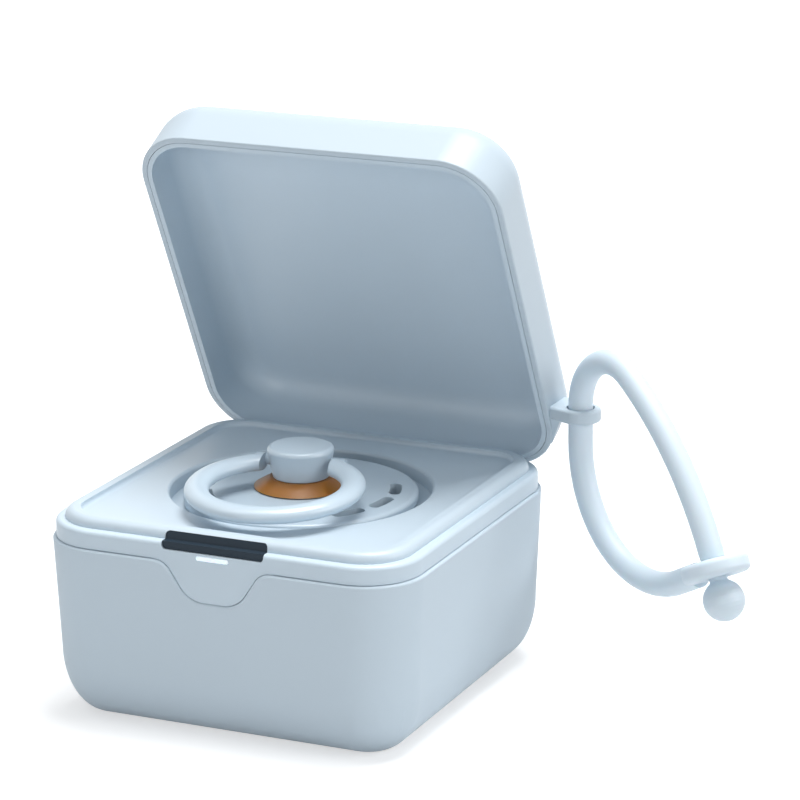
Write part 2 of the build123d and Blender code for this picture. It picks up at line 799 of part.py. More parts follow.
# Lid liner, drawn shut: the inner dish, with a pocket in its front wall for the magnet
liner_inset = lid_side_wall + assembly_gap
liner_top_z = lid_top_z - lid_top_wall - assembly_gap
pocket_depth = magnet_thickness + assembly_gap
magnet_z = rim_z + magnet_rise
with BuildPart() as lid_liner:
    add(lid_block(liner_inset, liner_top_z, lid_edge_round - liner_inset))
    add(
        lid_block(lid_bore_inset, liner_top_z - liner_top_wall, lid_edge_round - lid_bore_inset),
        mode=Mode.SUBTRACT,
    )
    boss_half = magnet_length / 2 + magnet_cover
    boss_front_y = -half_depth + liner_inset
    add(
        block(
            (-boss_half, boss_half),
            (boss_front_y + liner_wall / 2, boss_front_y + pocket_depth + magnet_cover),
            (magnet_z - magnet_cover, magnet_z + magnet_height + magnet_cover),
        )
    )
    add(
        block(
            (-magnet_length / 2 - assembly_gap, magnet_length / 2 + assembly_gap),
            (-half_depth, boss_front_y + pocket_depth),
            (magnet_z - assembly_gap, magnet_z + magnet_height + assembly_gap),
        ),
        mode=Mode.SUBTRACT,
    )
save(lid_liner, "lid_liner", on_lid=True)

with BuildPart() as lid_magnet:
    add(
        block(
            (-magnet_length / 2, magnet_length / 2),
            (boss_front_y, boss_front_y + magnet_thickness),
            (magnet_z, magnet_z + magnet_height),
        )
    )
save(lid_magnet, "lid_magnet", on_lid=True)

# Carry loop, drawn on the shut lid. A moulded tube starts at an eyelet, comes back under the lug,
# rises through the lug's hole, bends over and runs down to the eyelet, which its neck and ball lock
# into. The loop's plane has the lug's hole at its origin and the hole's line as its y direction.
swing = radians(loop_swing_angle)
loop_x_dir = lug_plane.x_dir * cos(swing) + lug_plane.y_dir * sin(swing)
loop_plane = Plane(origin=lug_middle, x_dir=loop_x_dir, z_dir=loop_x_dir.cross(lug_plane.z_dir))
top_fall = radians(loop_top_fall)
front_fall = radians(loop_front_fall)
top_out = Vector(sin(top_fall), cos(top_fall))
front_out = Vector(sin(front_fall), cos(front_fall))
run_dir = Vector(cos(front_fall), -sin(front_fall))
top_centre = Vector(loop_top_radius, loop_rise)
front_centre = top_centre + top_out * (loop_top_radius - loop_front_radius)
front_end = front_centre + front_out * loop_front_radius
eyelet_reach = loop_shoulder_gap + eyelet_thickness / 2
loop_start = front_end + run_dir * eyelet_reach - front_out * eyelet_join_reach
back_straight = (loop_start.X - loop_back_radius * (1 + cos(front_fall))) / sin(front_fall)
back_end = loop_start - front_out * back_straight
back_centre = Vector(loop_back_radius, back_end.Y + loop_back_radius * sin(front_fall))


def run_plane(distance):
    """The plane square to the loop's front run at a distance past its end."""
    origin = loop_plane.from_local_coords(front_end + run_dir * distance)
    ahead = loop_plane.from_local_coords(front_end + run_dir * (distance + 1))
    return Plane(origin=origin, z_dir=ahead - origin)


with BuildPart() as carry_loop:
    with BuildLine(loop_plane) as loop_path:
        Line(tuple(loop_start), tuple(back_end))
        CenterArc(tuple(back_centre), loop_back_radius, -loop_front_fall, loop_front_fall - 180)
        Line((0, back_centre.Y), (0, loop_rise))
        CenterArc(tuple(top_centre), loop_top_radius, 180, -90 - loop_top_fall)
        CenterArc(
            tuple(front_centre),
            loop_front_radius,
            90 - loop_top_fall,
            loop_top_fall - loop_front_fall,
        )
    path_start = loop_path.wire()
    with BuildSketch(Plane(origin=path_start @ 0, z_dir=path_start % 0)):
        Circle(loop_tube_radius)
    sweep(path=path_start)
    with BuildPart(mode=Mode.PRIVATE) as eyelet:
        with BuildSketch(run_plane(loop_shoulder_gap)):
            Circle(eyelet_radius)
        extrude(amount=eyelet_thickness)
        fillet(eyelet.edges().filter_by(GeomType.CIRCLE), eyelet_edge_round)
    add(eyelet.part)
    with BuildSketch(run_plane(0)):
        Circle(loop_neck_radius + eyelet_hole_gap)
    extrude(amount=eyelet_reach + eyelet_thickness, mode=Mode.SUBTRACT)
    with BuildSketch(run_plane(0)):
        Circle(loop_neck_radius)
    extrude(amount=eyelet_reach + loop_ball_reach)
    with Locations(run_plane(eyelet_reach + loop_ball_reach).origin):
        Sphere(loop_ball_radius)
save(carry_loop, "carry_loop", on_lid=True)

# Pacifier shield with its curved vents
with BuildPart() as pacifier_shield:
    hole_radius = neck_radius + silicone_gap
    with BuildSketch(spin_plane) as shield_profile:
        with BuildLine():
            Polyline(
                (hole_radius, crown_height(hole_radius)),
                (hole_radius, recess_floor_z),
                (shield_radius, recess_floor_z),
                (shield_radius, shield_edge_z),
            )
            ThreePointArc(
                (shield_radius, shield_edge_z),
                (shield_radius / 2, crown_height(shield_radius / 2)),
                (hole_radius, crown_height(hole_radius)),
            )
        make_face()
        fillet(shield_profile.vertices().group_by(Axis.X)[-1], shield_edge_round)
    revolve(axis=Axis.Z)
    for side_angle in (0, 180):
        for step in range(vents_per_side):
            turn = vent_middle_angle + vent_spacing * (step - (vents_per_side - 1) / 2)
            middle_angle = turn if side_angle == 0 else side_angle - turn
            with BuildSketch(Plane.XY.offset(recess_floor_z)):
                SlotArc(CenterArc((0, 0), vent_radius, middle_angle - vent_span / 2, vent_span), vent_width)
            extrude(amount=shield_edge_thickness + shield_crown, mode=Mode.SUBTRACT)
save(pacifier_shield, "pacifier_shield")

# Pacifier knob: a tapered button on a stem, with a blind hole each side for the ring's pins
turned = radians(ring_turn)
with BuildPart() as pacifier_knob:
    with BuildSketch(spin_plane) as knob_profile:
        with BuildLine():
            Polyline(
                (0, stem_bottom_z),
                (stem_radius, stem_bottom_z),
                (stem_radius, knob_base_z),
                (knob_base_radius, knob_base_z),
                (knob_top_radius, knob_top_z),
                (0, knob_top_z),
                close=True,
            )
        make_face()
        fillet(knob_profile.vertices().group_by(Axis.X)[-1], knob_edge_round)
    revolve(axis=Axis.Z)
    pivot_line = Plane(
        origin=(0, 0, ring_pivot_z),
        x_dir=(-sin(turned), cos(turned), 0),
        z_dir=(cos(turned), sin(turned), 0),
    )
    knob_pivot_radius = knob_base_radius + (knob_top_radius - knob_base_radius) * (
        (ring_pivot_z - knob_base_z) / (knob_top_z - knob_base_z)
    )
    pin_tip = knob_pivot_radius - ring_pin_depth
    for side in (-1, 1):
        with BuildSketch(pivot_line.offset(side * (pin_tip - ring_pin_gap))):
            Circle(ring_pin_radius + ring_pin_gap)
        extrude(amount=side * knob_top_radius, mode=Mode.SUBTRACT)
save(pacifier_knob, "pacifier_knob")

# Amber silicone: collar over the shield, flange under it and the hollow teat in the well
with BuildPart() as pacifier_nipple:
    tip_z = recess_floor_z - teat_length
    bulb_z = tip_z + bulb_radius
    bore_radius = stem_radius + silicone_gap
    inner_bulb = bulb_radius - teat_wall
    inner_neck = teat_neck_radius - teat_wall
    flange_top_z = recess_floor_z - silicone_gap
    flange_bottom_z = flange_top_z - inner_flange_thickness
    stem_end_z = stem_bottom_z - silicone_gap
    outer_join_z = bulb_z + sqrt(bulb_radius**2 - teat_neck_radius**2)
    inner_join_z = bulb_z + sqrt(inner_bulb**2 - inner_neck**2)
    with BuildSketch(spin_plane):
        with BuildLine():
            Polyline(
                (inner_neck, inner_join_z),
                (inner_neck, stem_end_z),
                (bore_radius, stem_end_z),
                (bore_radius, collar_top_z),
                (collar_top_radius, collar_top_z),
                (collar_base_radius, collar_z),
                (neck_radius, collar_z),
                (neck_radius, flange_top_z),
                (inner_flange_radius, flange_top_z),
                (inner_flange_radius, flange_bottom_z),
                (teat_neck_radius, flange_bottom_z),
                (teat_neck_radius, outer_join_z),
            )
            ThreePointArc((teat_neck_radius, outer_join_z), (bulb_radius, bulb_z), (0, tip_z))
            Line((0, tip_z), (0, tip_z + teat_wall))
            ThreePointArc((0, tip_z + teat_wall), (inner_bulb, bulb_z), (inner_neck, inner_join_z))
        make_face()
    revolve(axis=Axis.Z)
save(pacifier_nipple, "pacifier_nipple")

# Pacifier ring: an open oval-section ring whose two ends carry the pins
tilt = radians(ring_tilt)
ring_plane = Plane(
    origin=(0, 0, ring_pivot_z),
    x_dir=(sin(turned) * cos(tilt), -cos(turned) * cos(tilt), -sin(tilt)),
    z_dir=(sin(turned) * sin(tilt), -cos(turned) * sin(tilt), cos(tilt)),
)
with BuildPart() as pacifier_ring:
    gap_angle = degrees(asin(ring_end_offset / (ring_middle_radius + ring_width)))
    with BuildLine(ring_plane) as ring_path:
        CenterArc((ring_middle_radius, 0), ring_middle_radius, gap_angle - 180, 360 - 2 * gap_angle)
    ring_wire = ring_path.wire()
    with BuildSketch(Plane(origin=ring_wire @ 0, x_dir=ring_plane.z_dir, z_dir=ring_wire % 0)):
        Ellipse(ring_height / 2, ring_width / 2)
    sweep(path=ring_wire)
    with BuildSketch(ring_plane.offset(-ring_height)):
        Rectangle(ring_middle_radius, 2 * ring_end_offset)
    extrude(amount=2 * ring_height, mode=Mode.SUBTRACT)
    for side in (-1, 1):
        with BuildSketch(pivot_line.offset(side * pin_tip)):
            Circle(ring_pin_radius)
        extrude(amount=side * (ring_end_offset + ring_pin_root - pin_tip))
save(pacifier_ring, "pacifier_ring")
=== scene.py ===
"""Pacifier sterilizer case: finishes, small parts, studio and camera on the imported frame."""
import json
import math

import bmesh
import bpy
from mathutils import Matrix, Vector


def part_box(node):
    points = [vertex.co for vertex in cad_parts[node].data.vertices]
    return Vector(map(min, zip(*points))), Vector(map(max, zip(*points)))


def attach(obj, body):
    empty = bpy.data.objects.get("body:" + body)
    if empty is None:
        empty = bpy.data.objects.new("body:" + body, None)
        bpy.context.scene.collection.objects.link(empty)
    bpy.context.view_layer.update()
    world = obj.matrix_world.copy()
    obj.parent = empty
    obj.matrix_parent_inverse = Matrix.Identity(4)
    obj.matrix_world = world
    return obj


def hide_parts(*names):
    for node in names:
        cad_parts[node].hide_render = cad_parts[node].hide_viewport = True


MM = 0.001
MERGE_REACH = 0.0015 * MM
LEAST_EDGE = 0.0001 * MM

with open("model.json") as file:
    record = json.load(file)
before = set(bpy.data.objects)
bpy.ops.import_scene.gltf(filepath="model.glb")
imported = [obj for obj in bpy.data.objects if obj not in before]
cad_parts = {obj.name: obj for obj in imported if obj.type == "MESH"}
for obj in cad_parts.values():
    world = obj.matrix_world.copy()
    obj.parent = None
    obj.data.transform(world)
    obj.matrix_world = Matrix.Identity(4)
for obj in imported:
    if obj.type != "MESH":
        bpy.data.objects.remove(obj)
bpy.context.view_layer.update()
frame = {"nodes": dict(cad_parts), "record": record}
scene = bpy.context.scene

# The carry loop's angles, in degrees, as its solid has them
LOOP_SWING = -33.2
LOOP_TOP_FALL = 31.0
LOOP_FRONT_FALL = 62.9

# Sizes of the pieces made here, in millimetres, fitted to their solids
LOOP_TUBE = 2.55
LOOP_RISE = 2.2
LOOP_TOP_RADIUS = 11.1
LOOP_FRONT_RADIUS = 76.0
LOOP_BACK_RADIUS = 23.6
SHOULDER_GAP = 0.3
EYELET_RADIUS = 6.9
EYELET_HOLE = 2.15
EYELET_THICKNESS = 3.6
EYELET_ROUND = 1.2
EYELET_JOIN = 6.1
NECK_RADIUS = 1.8
BALL_RADIUS = 4.2
BALL_REACH = 6.4
SHOULDER_ROUND = 0.35
SHOULDER_LEAST = 0.02
NECK_FLARE_LENGTH = 0.25
SCREW_HEAD_RADIUS = 1.9
SCREW_HEAD_HEIGHT = 1.4
EMITTER_COUNT = 3
EMITTER_RING = 3.2
TONGUE_MIDDLE_DEPTH = 3.7

# Shares and counts along the strap's line. The neck's flare is a share of its radius.
LAST_BEND_SHARE = 0.03
SHOULDER_STEP = 0.16
SHOULDER_PARTS = 4
NECK_FLARE = 1.06
BALL_PARTS = 14
BALL_TIP = 0.01

# Studio, in metres
FLOOR_REACH = 6.0
FLOOR_DROP = 0.00005
FLOOR_SHADOW_REACH = 0.3
CASE_MIDDLE = (0.0, 0.0, 0.05)
CASE_FRONT = (0.0, -0.01, 0.05)


# ---------------------------------------------------------------- shader groups


def group_socket(group, name, kind, default=None, output=False):
    """Adds a named socket to a node group."""
    socket = group.interface.new_socket(name, in_out="OUTPUT" if output else "INPUT", socket_type=kind)
    if default is not None:
        socket.default_value = default
    return socket


def shader_math(tree, operation, first, second=None, clamp=False):
    """A Math node fed by sockets or plain numbers. Gives its result socket."""
    node = tree.nodes.new("ShaderNodeMath")
    node.operation = operation
    node.use_clamp = clamp
    for place, value in enumerate((first, second)):
        if value is None:
            continue
        if isinstance(value, (int, float)):
            node.inputs[place].default_value = value
        else:
            tree.links.new(value, node.inputs[place])
    return node.outputs[0]


def noise(tree, position, scale, detail=2.0, roughness=0.5):
    """A noise texture on a position. Gives its value socket, from 0 to 1."""
    node = tree.nodes.new("ShaderNodeTexNoise")
    node.inputs["Detail"].default_value = detail
    node.inputs["Roughness"].default_value = roughness
    tree.links.new(position, node.inputs["Vector"])
    if isinstance(scale, (int, float)):
        node.inputs["Scale"].default_value = scale
    else:
        tree.links.new(scale, node.inputs["Scale"])
    return node.outputs["Fac"]


def build_moulded_grain():
    """Moulded surface: faint flow shading in the colour, a fine spark grain and handling marks."""
    group = bpy.data.node_groups.new("moulded_grain", "ShaderNodeTree")
    group_socket(group, "Position", "NodeSocketVector")
    group_socket(group, "Colour", "NodeSocketColor", (0.8, 0.8, 0.8, 1))
    group_socket(group, "Flow Depth", "NodeSocketFloat", 0.03)
    group_socket(group, "Grain Scale", "NodeSocketFloat", 4000.0)
    group_socket(group, "Grain Depth", "NodeSocketFloat", 0.5)
    group_socket(group, "Roughness", "NodeSocketFloat", 0.45)
    group_socket(group, "Handling", "NodeSocketFloat", 0.08)
    group_socket(group, "Colour", "NodeSocketColor", output=True)
    group_socket(group, "Roughness", "NodeSocketFloat", output=True)
    group_socket(group, "Height", "NodeSocketFloat", output=True)
    given = group.nodes.new("NodeGroupInput")
    result = group.nodes.new("NodeGroupOutput")
    position = given.outputs["Position"]

    flow = noise(group, position, 34.0, 3.0, 0.55)
    swing = shader_math(group, "SUBTRACT", flow, 0.5)
    lift = shader_math(group, "MULTIPLY_ADD", swing, given.outputs["Flow Depth"])
    lift.node.inputs[2].default_value = 1.0
    tint = group.nodes.new("ShaderNodeVectorMath")
    tint.operation = "SCALE"
    group.links.new(given.outputs["Colour"], tint.inputs[0])
    group.links.new(lift, tint.inputs["Scale"])
    group.links.new(tint.outputs["Vector"], result.inputs["Colour"])

    marks = noise(group, position, 75.0, 4.0, 0.62)
    marks = shader_math(group, "SUBTRACT", marks, 0.5)
    marks = shader_math(group, "MULTIPLY", marks, given.outputs["Handling"])
    rough = shader_math(group, "ADD", marks, given.outputs["Roughness"], clamp=True)
    group.links.new(rough, result.inputs["Roughness"])

    grain = noise(group, position, given.outputs["Grain Scale"], 1.0, 0.5)
    height = shader_math(group, "MULTIPLY", grain, given.outputs["Grain Depth"])
    group.links.new(height, result.inputs["Height"])
    return group


def build_speckle():
    """Fine speckle: scattered darker grains in a base colour, for boards, foam and ceramic."""
    group = bpy.data.node_groups.new("speckle", "ShaderNodeTree")
    group_socket(group, "Position", "NodeSocketVector")
    group_socket(group, "Colour", "NodeSocketColor", (0.5, 0.5, 0.5, 1))
    group_socket(group, "Speck Colour", "NodeSocketColor", (0.2, 0.2, 0.2, 1))
    group_socket(group, "Scale", "NodeSocketFloat", 1500.0)
    group_socket(group, "Amount", "NodeSocketFloat", 0.4)
    group_socket(group, "Colour", "NodeSocketColor", output=True)
    group_socket(group, "Height", "NodeSocketFloat", output=True)
    given = group.nodes.new("NodeGroupInput")
    result = group.nodes.new("NodeGroupOutput")
    cells = group.nodes.new("ShaderNodeTexVoronoi")
    group.links.new(given.outputs["Position"], cells.inputs["Vector"])
    group.links.new(given.outputs["Scale"], cells.inputs["Scale"])
    near = shader_math(group, "SUBTRACT", 0.5, cells.outputs["Distance"], clamp=True)
    mask = shader_math(group, "MULTIPLY", near, given.outputs["Amount"], clamp=True)
    mix = group.nodes.new("ShaderNodeMix")
    mix.data_type = "RGBA"
    group.links.new(mask, mix.inputs["Factor"])
    group.links.new(given.outputs["Colour"], mix.inputs["A"])
    group.links.new(given.outputs["Speck Colour"], mix.inputs["B"])
    group.links.new(mix.outputs["Result"], result.inputs["Colour"])
    group.links.new(cells.outputs["Distance"], result.inputs["Height"])
    return group


def build_brushed():
    """Brushed metal: long scratches along one axis, in the colour, roughness and height."""
    group = bpy.data.node_groups.new("brushed", "ShaderNodeTree")
    group_socket(group, "Position", "NodeSocketVector")
    group_socket(group, "Colour", "NodeSocketColor", (0.6, 0.6, 0.6, 1))
    group_socket(group, "Stretch", "NodeSocketVector", (1.0, 30.0, 30.0))
    group_socket(group, "Roughness", "NodeSocketFloat", 0.3)
    group_socket(group, "Colour", "NodeSocketColor", output=True)
    group_socket(group, "Roughness", "NodeSocketFloat", output=True)
    group_socket(group, "Height", "NodeSocketFloat", output=True)
    given = group.nodes.new("NodeGroupInput")
    result = group.nodes.new("NodeGroupOutput")
    drawn = group.nodes.new("ShaderNodeVectorMath")
    drawn.operation = "MULTIPLY"
    group.links.new(given.outputs["Position"], drawn.inputs[0])
    group.links.new(given.outputs["Stretch"], drawn.inputs[1])
    lines = noise(group, drawn.outputs["Vector"], 120.0, 4.0, 0.6)
    lift = shader_math(group, "ADD", shader_math(group, "MULTIPLY", lines, 0.24), 0.88)
    tint = group.nodes.new("ShaderNodeVectorMath")
    tint.operation = "SCALE"
    group.links.new(given.outputs["Colour"], tint.inputs[0])
    group.links.new(lift, tint.inputs["Scale"])
    group.links.new(tint.outputs["Vector"], result.inputs["Colour"])
    rough = shader_math(group, "MULTIPLY", lines, 0.25)
    rough = shader_math(group, "ADD", rough, given.outputs["Roughness"], clamp=True)
    group.links.new(rough, result.inputs["Roughness"])
    group.links.new(lines, result.inputs["Height"])
    return group


MOULDED = build_moulded_grain()
SPECKLE = build_speckle()
BRUSHED = build_brushed()


# ---------------------------------------------------------------- materials


def effect_material(name, effect, values, bump=0.0, bump_distance=0.00002, **shader):
    """A material whose colour, roughness and bump come from one shader group."""
    material = bpy.data.materials.new(name)
    material.use_nodes = True
    tree = material.node_tree
    principled = tree.nodes["Principled BSDF"]
    place = tree.nodes.new("ShaderNodeTexCoord")
    look = tree.nodes.new("ShaderNodeGroup")
    look.node_tree = effect
    tree.links.new(place.outputs["Object"], look.inputs["Position"])
    for socket, value in values.items():
        look.inputs[socket].default_value = value
    tree.links.new(look.outputs["Colour"], principled.inputs["Base Color"])
    if "Roughness" in look.outputs:
        tree.links.new(look.outputs["Roughness"], principled.inputs["Roughness"])
    if bump:
        relief = tree.nodes.new("ShaderNodeBump")
        relief.inputs["Strength"].default_value = bump
        relief.inputs["Distance"].default_value = bump_distance
        tree.links.new(look.outputs["Height"], relief.inputs["Height"])
        tree.links.new(relief.outputs["Normal"], principled.inputs["Normal"])
    for socket, value in shader.items():
        principled.inputs[socket.replace("_", " ")].default_value = value
    return material


def rgba(red, green, blue):
    return (red, green, blue, 1.0)


PALE_BLUE = rgba(0.566, 0.668, 0.750)

sleeve_silicone = effect_material(
    "sleeve_silicone", MOULDED,
    {"Colour": PALE_BLUE, "Flow Depth": 0.03, "Grain Scale": 5200.0, "Grain Depth": 0.6,
     "Roughness": 0.56, "Handling": 0.10},
    bump=0.25, Sheen_Weight=0.08, Sheen_Roughness=0.4, Specular_IOR_Level=0.4,
)
case_plastic = effect_material(
    "case_plastic", MOULDED,
    {"Colour": rgba(0.585, 0.695, 0.783), "Flow Depth": 0.02, "Grain Scale": 6500.0, "Grain Depth": 0.4,
     "Roughness": 0.40, "Handling": 0.08},
    bump=0.15,
)
# The lid's shell takes the case's pale blue darkened by about 0.93, as painted shade on the lid.
lid_plastic = effect_material(
    "lid_plastic", MOULDED,
    {"Colour": rgba(0.518, 0.610, 0.684), "Flow Depth": 0.02, "Grain Scale": 5200.0, "Grain Depth": 0.5,
     "Roughness": 0.42, "Handling": 0.08},
    bump=0.18,
)
liner_plastic = effect_material(
    "liner_plastic", MOULDED,
    {"Colour": rgba(0.564, 0.667, 0.752), "Flow Depth": 0.05, "Grain Scale": 6500.0, "Grain Depth": 0.3,
     "Roughness": 0.36, "Handling": 0.10},
    bump=0.10,
)
tray_plastic = effect_material(
    "tray_plastic", MOULDED,
    {"Colour": rgba(0.552, 0.652, 0.732), "Flow Depth": 0.02, "Grain Scale": 6500.0, "Grain Depth": 0.3,
     "Roughness": 0.38, "Handling": 0.08},
    bump=0.12,
)
cup_plastic = effect_material(
    "cup_plastic", MOULDED,
    {"Colour": rgba(0.78, 0.80, 0.83), "Flow Depth": 0.03, "Grain Scale": 7000.0, "Grain Depth": 0.2,
     "Roughness": 0.22, "Handling": 0.06},
    bump=0.08,
)
pacifier_plastic = effect_material(
    "pacifier_plastic", MOULDED,
    {"Colour": rgba(0.525, 0.627, 0.709), "Flow Depth": 0.015, "Grain Scale": 7000.0, "Grain Depth": 0.2,
     "Roughness": 0.30, "Handling": 0.06},
    bump=0.06, Coat_Weight=0.15, Coat_Roughness=0.2,
)
loop_silicone = effect_material(
    "loop_silicone", MOULDED,
    {"Colour": rgba(0.657, 0.765, 0.846), "Flow Depth": 0.02, "Grain Scale": 5200.0, "Grain Depth": 0.4,
     "Roughness": 0.46, "Handling": 0.08},
    bump=0.15, Subsurface_Weight=0.08, Subsurface_Scale=0.002,
)
amber_silicone = effect_material(
    "amber_silicone", MOULDED,
    {"Colour": rgba(0.360, 0.140, 0.020), "Flow Depth": 0.20, "Grain Scale": 900.0, "Grain Depth": 0.3,
     "Roughness": 0.34, "Handling": 0.10},
    bump=0.10, Subsurface_Weight=0.20, Subsurface_Scale=0.003, Specular_IOR_Level=0.35,
)
# The keeper plate is near-black blue: partly the plate's own dark, partly painted shade of the deep slot it
# sits in.
keeper_dark_painted_shade = effect_material(
    "keeper_dark_painted_shade", MOULDED,
    {"Colour": rgba(0.014, 0.027, 0.042), "Flow Depth": 0.10, "Grain Scale": 3000.0, "Grain Depth": 0.5,
     "Roughness": 0.46, "Handling": 0.15},
    bump=0.15, Specular_IOR_Level=0.25,
)
# The light pipe's emission is painted light: a faint glow that brightens the bar where it sits in shade
# under the keeper.
light_guide = effect_material(
    "light_guide", MOULDED,
    {"Colour": rgba(0.86, 0.94, 1.0), "Flow Depth": 0.02, "Grain Scale": 4000.0, "Grain Depth": 0.2,
     "Roughness": 0.25, "Handling": 0.05},
    bump=0.05, Subsurface_Weight=0.3, Subsurface_Scale=0.001,
    Emission_Color=rgba(0.86, 0.94, 1.0), Emission_Strength=0.30,
)
seal_rubber = effect_material(
    "seal_rubber", MOULDED,
    {"Colour": rgba(0.30, 0.32, 0.35), "Flow Depth": 0.06, "Grain Scale": 2600.0, "Grain Depth": 0.6,
     "Roughness": 0.70, "Handling": 0.10},
    bump=0.25,
)
chip_moulding = effect_material(
    "chip_moulding", MOULDED,
    {"Colour": rgba(0.018, 0.018, 0.020), "Flow Depth": 0.10, "Grain Scale": 5000.0, "Grain Depth": 0.7,
     "Roughness": 0.55, "Handling": 0.10},
    bump=0.3,
)
green_laminate = effect_material(
    "green_laminate", SPECKLE,
    {"Colour": rgba(0.015, 0.130, 0.055), "Speck Colour": rgba(0.006, 0.060, 0.026), "Scale": 1400.0,
     "Amount": 1.2},
    bump=0.10, Roughness=0.34,
)
pad_foam = effect_material(
    "pad_foam", SPECKLE,
    {"Colour": rgba(0.030, 0.030, 0.033), "Speck Colour": rgba(0.004, 0.004, 0.005), "Scale": 2600.0,
     "Amount": 1.8},
    bump=0.8, bump_distance=0.0001, Roughness=0.92,
)
diode_ceramic = effect_material(
    "diode_ceramic", SPECKLE,
    {"Colour": rgba(0.80, 0.78, 0.70), "Speck Colour": rgba(0.62, 0.60, 0.54), "Scale": 4200.0,
     "Amount": 0.8},
    bump=0.05, Roughness=0.45,
)
plain_steel = effect_material(
    "plain_steel", BRUSHED,
    {"Colour": rgba(0.50, 0.51, 0.53), "Stretch": (4.0, 4.0, 30.0), "Roughness": 0.22},
    bump=0.05, Metallic=1.0,
)
socket_steel = effect_material(
    "socket_steel", BRUSHED,
    {"Colour": rgba(0.58, 0.59, 0.61), "Stretch": (1.0, 24.0, 24.0), "Roughness": 0.20},
    bump=0.05, Metallic=1.0,
)
cell_foil = effect_material(
    "cell_foil", BRUSHED,
    {"Colour": rgba(0.52, 0.54, 0.57), "Stretch": (12.0, 2.0, 12.0), "Roughness": 0.30},
    bump=0.12, Metallic=0.7,
)
magnet_nickel = effect_material(
    "magnet_nickel", BRUSHED,
    {"Colour": rgba(0.66, 0.66, 0.67), "Stretch": (3.0, 20.0, 3.0), "Roughness": 0.12},
    bump=0.03, Metallic=1.0,
)
gold_plate = effect_material(
    "gold_plate", BRUSHED,
    {"Colour": rgba(0.83, 0.62, 0.28), "Stretch": (6.0, 6.0, 6.0), "Roughness": 0.18},
    bump=0.02, Metallic=1.0,
)
lens_epoxy = effect_material(
    "lens_epoxy", MOULDED,
    {"Colour": rgba(0.86, 0.80, 0.62), "Flow Depth": 0.05, "Grain Scale": 2500.0, "Grain Depth": 0.1,
     "Roughness": 0.10, "Handling": 0.04},
    bump=0.02, Coat_Weight=0.4,
)
quartz_glass = effect_material(
    "quartz_glass", MOULDED,
    {"Colour": rgba(0.95, 0.97, 1.0), "Flow Depth": 0.0, "Grain Scale": 900.0, "Grain Depth": 0.1,
     "Roughness": 0.03, "Handling": 0.05},
    Transmission_Weight=1.0, IOR=1.46,
)

FINISH = {
    "outer_sleeve": sleeve_silicone, "base_shell": case_plastic, "tray_deck": tray_plastic,
    "chamber_cup": cup_plastic, "quartz_window": quartz_glass, "window_seal": seal_rubber,
    "uv_board": green_laminate, "uv_emitters": diode_ceramic, "keeper_plate": keeper_dark_painted_shade,
    "light_pipe": light_guide, "status_led": diode_ceramic, "sensor_board": green_laminate,
    "hall_sensor": chip_moulding, "battery_cell": cell_foil, "battery_pad": pad_foam,
    "main_board": green_laminate, "control_chip": chip_moulding, "usb_socket": socket_steel,
    "deck_screws": plain_steel, "hinge_pin": plain_steel, "lid_shell": lid_plastic,
    "lid_liner": liner_plastic, "lid_magnet": magnet_nickel, "carry_loop": loop_silicone,
    "pacifier_shield": pacifier_plastic, "pacifier_knob": pacifier_plastic,
    "pacifier_ring": pacifier_plastic, "pacifier_nipple": amber_silicone,
}
for node, material in FINISH.items():
    frame["nodes"][node].data.materials.clear()
    frame["nodes"][node].data.materials.append(material)


# ---------------------------------------------------------------- mesh helpers


def place_piece(name, mesh, body, slot, *nodes):
    """Puts a finished mesh in the scene, on its body, in the place of the nodes that it stands for."""
    piece = bpy.data.objects.new(name, mesh)
    scene.collection.objects.link(piece)
    if nodes:
        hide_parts(*nodes)
    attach(piece, body)
    return piece


def smooth_copy(node, crease_degrees=28.0):
    """A copy of a node's mesh with its corners joined, smooth but for its sharp edges."""
    source = frame["nodes"][node].data
    points = [vertex.co.copy() for vertex in source.vertices]
    faces = [tuple(face.vertices) for face in source.polygons]
    mesh = bpy.data.meshes.new(f"{node}_finished")
    mesh.from_pydata(points, [], faces)
    work = bmesh.new()
    work.from_mesh(mesh)
    bmesh.ops.remove_doubles(work, verts=work.verts, dist=MERGE_REACH)
    bmesh.ops.dissolve_degenerate(work, edges=work.edges, dist=LEAST_EDGE)
    work.to_mesh(mesh)
    work.free()
    mesh.shade_smooth()
    mesh.set_sharp_from_angle(angle=math.radians(crease_degrees))
    mesh.materials.append(FINISH[node])
    return mesh


def weight_normals(piece):
    """Keeps the flat faces flat and the rounds smooth."""
    modifier = piece.modifiers.new("even_shading", "WEIGHTED_NORMAL")
    modifier.mode = "FACE_AREA"
    modifier.keep_sharp = True
    modifier.weight = 60


# ---------------------------------------------------------------- geometry node trees


def tree_node(tree, kind, settings=None, **inputs):
    """Adds a node, makes its settings, and feeds each named input a socket or a value."""
    node = tree.nodes.new(kind)
    for name, value in (settings or {}).items():
        setattr(node, name, value)
    for name, value in inputs.items():
        socket = node.inputs[name.replace("_", " ")]
        if isinstance(value, bpy.types.NodeSocket):
            tree.links.new(value, socket)
        else:
            socket.default_value = value
    return node


def geometry_group(name, sizes, materials=("Material",)):
    """An empty tree with a geometry input, a named input for each size and one for each material."""
    group = bpy.data.node_groups.new(name, "GeometryNodeTree")
    group_socket(group, "Geometry", "NodeSocketGeometry")
    for size, value in sizes.items():
        kind = "NodeSocketInt" if isinstance(value, int) else "NodeSocketFloat"
        group_socket(group, size, kind, value)
    for material in materials:
        group_socket(group, material, "NodeSocketMaterial")
    group_socket(group, "Geometry", "NodeSocketGeometry", output=True)
    return group, group.nodes.new("NodeGroupInput").outputs, group.nodes.new("NodeGroupOutput")


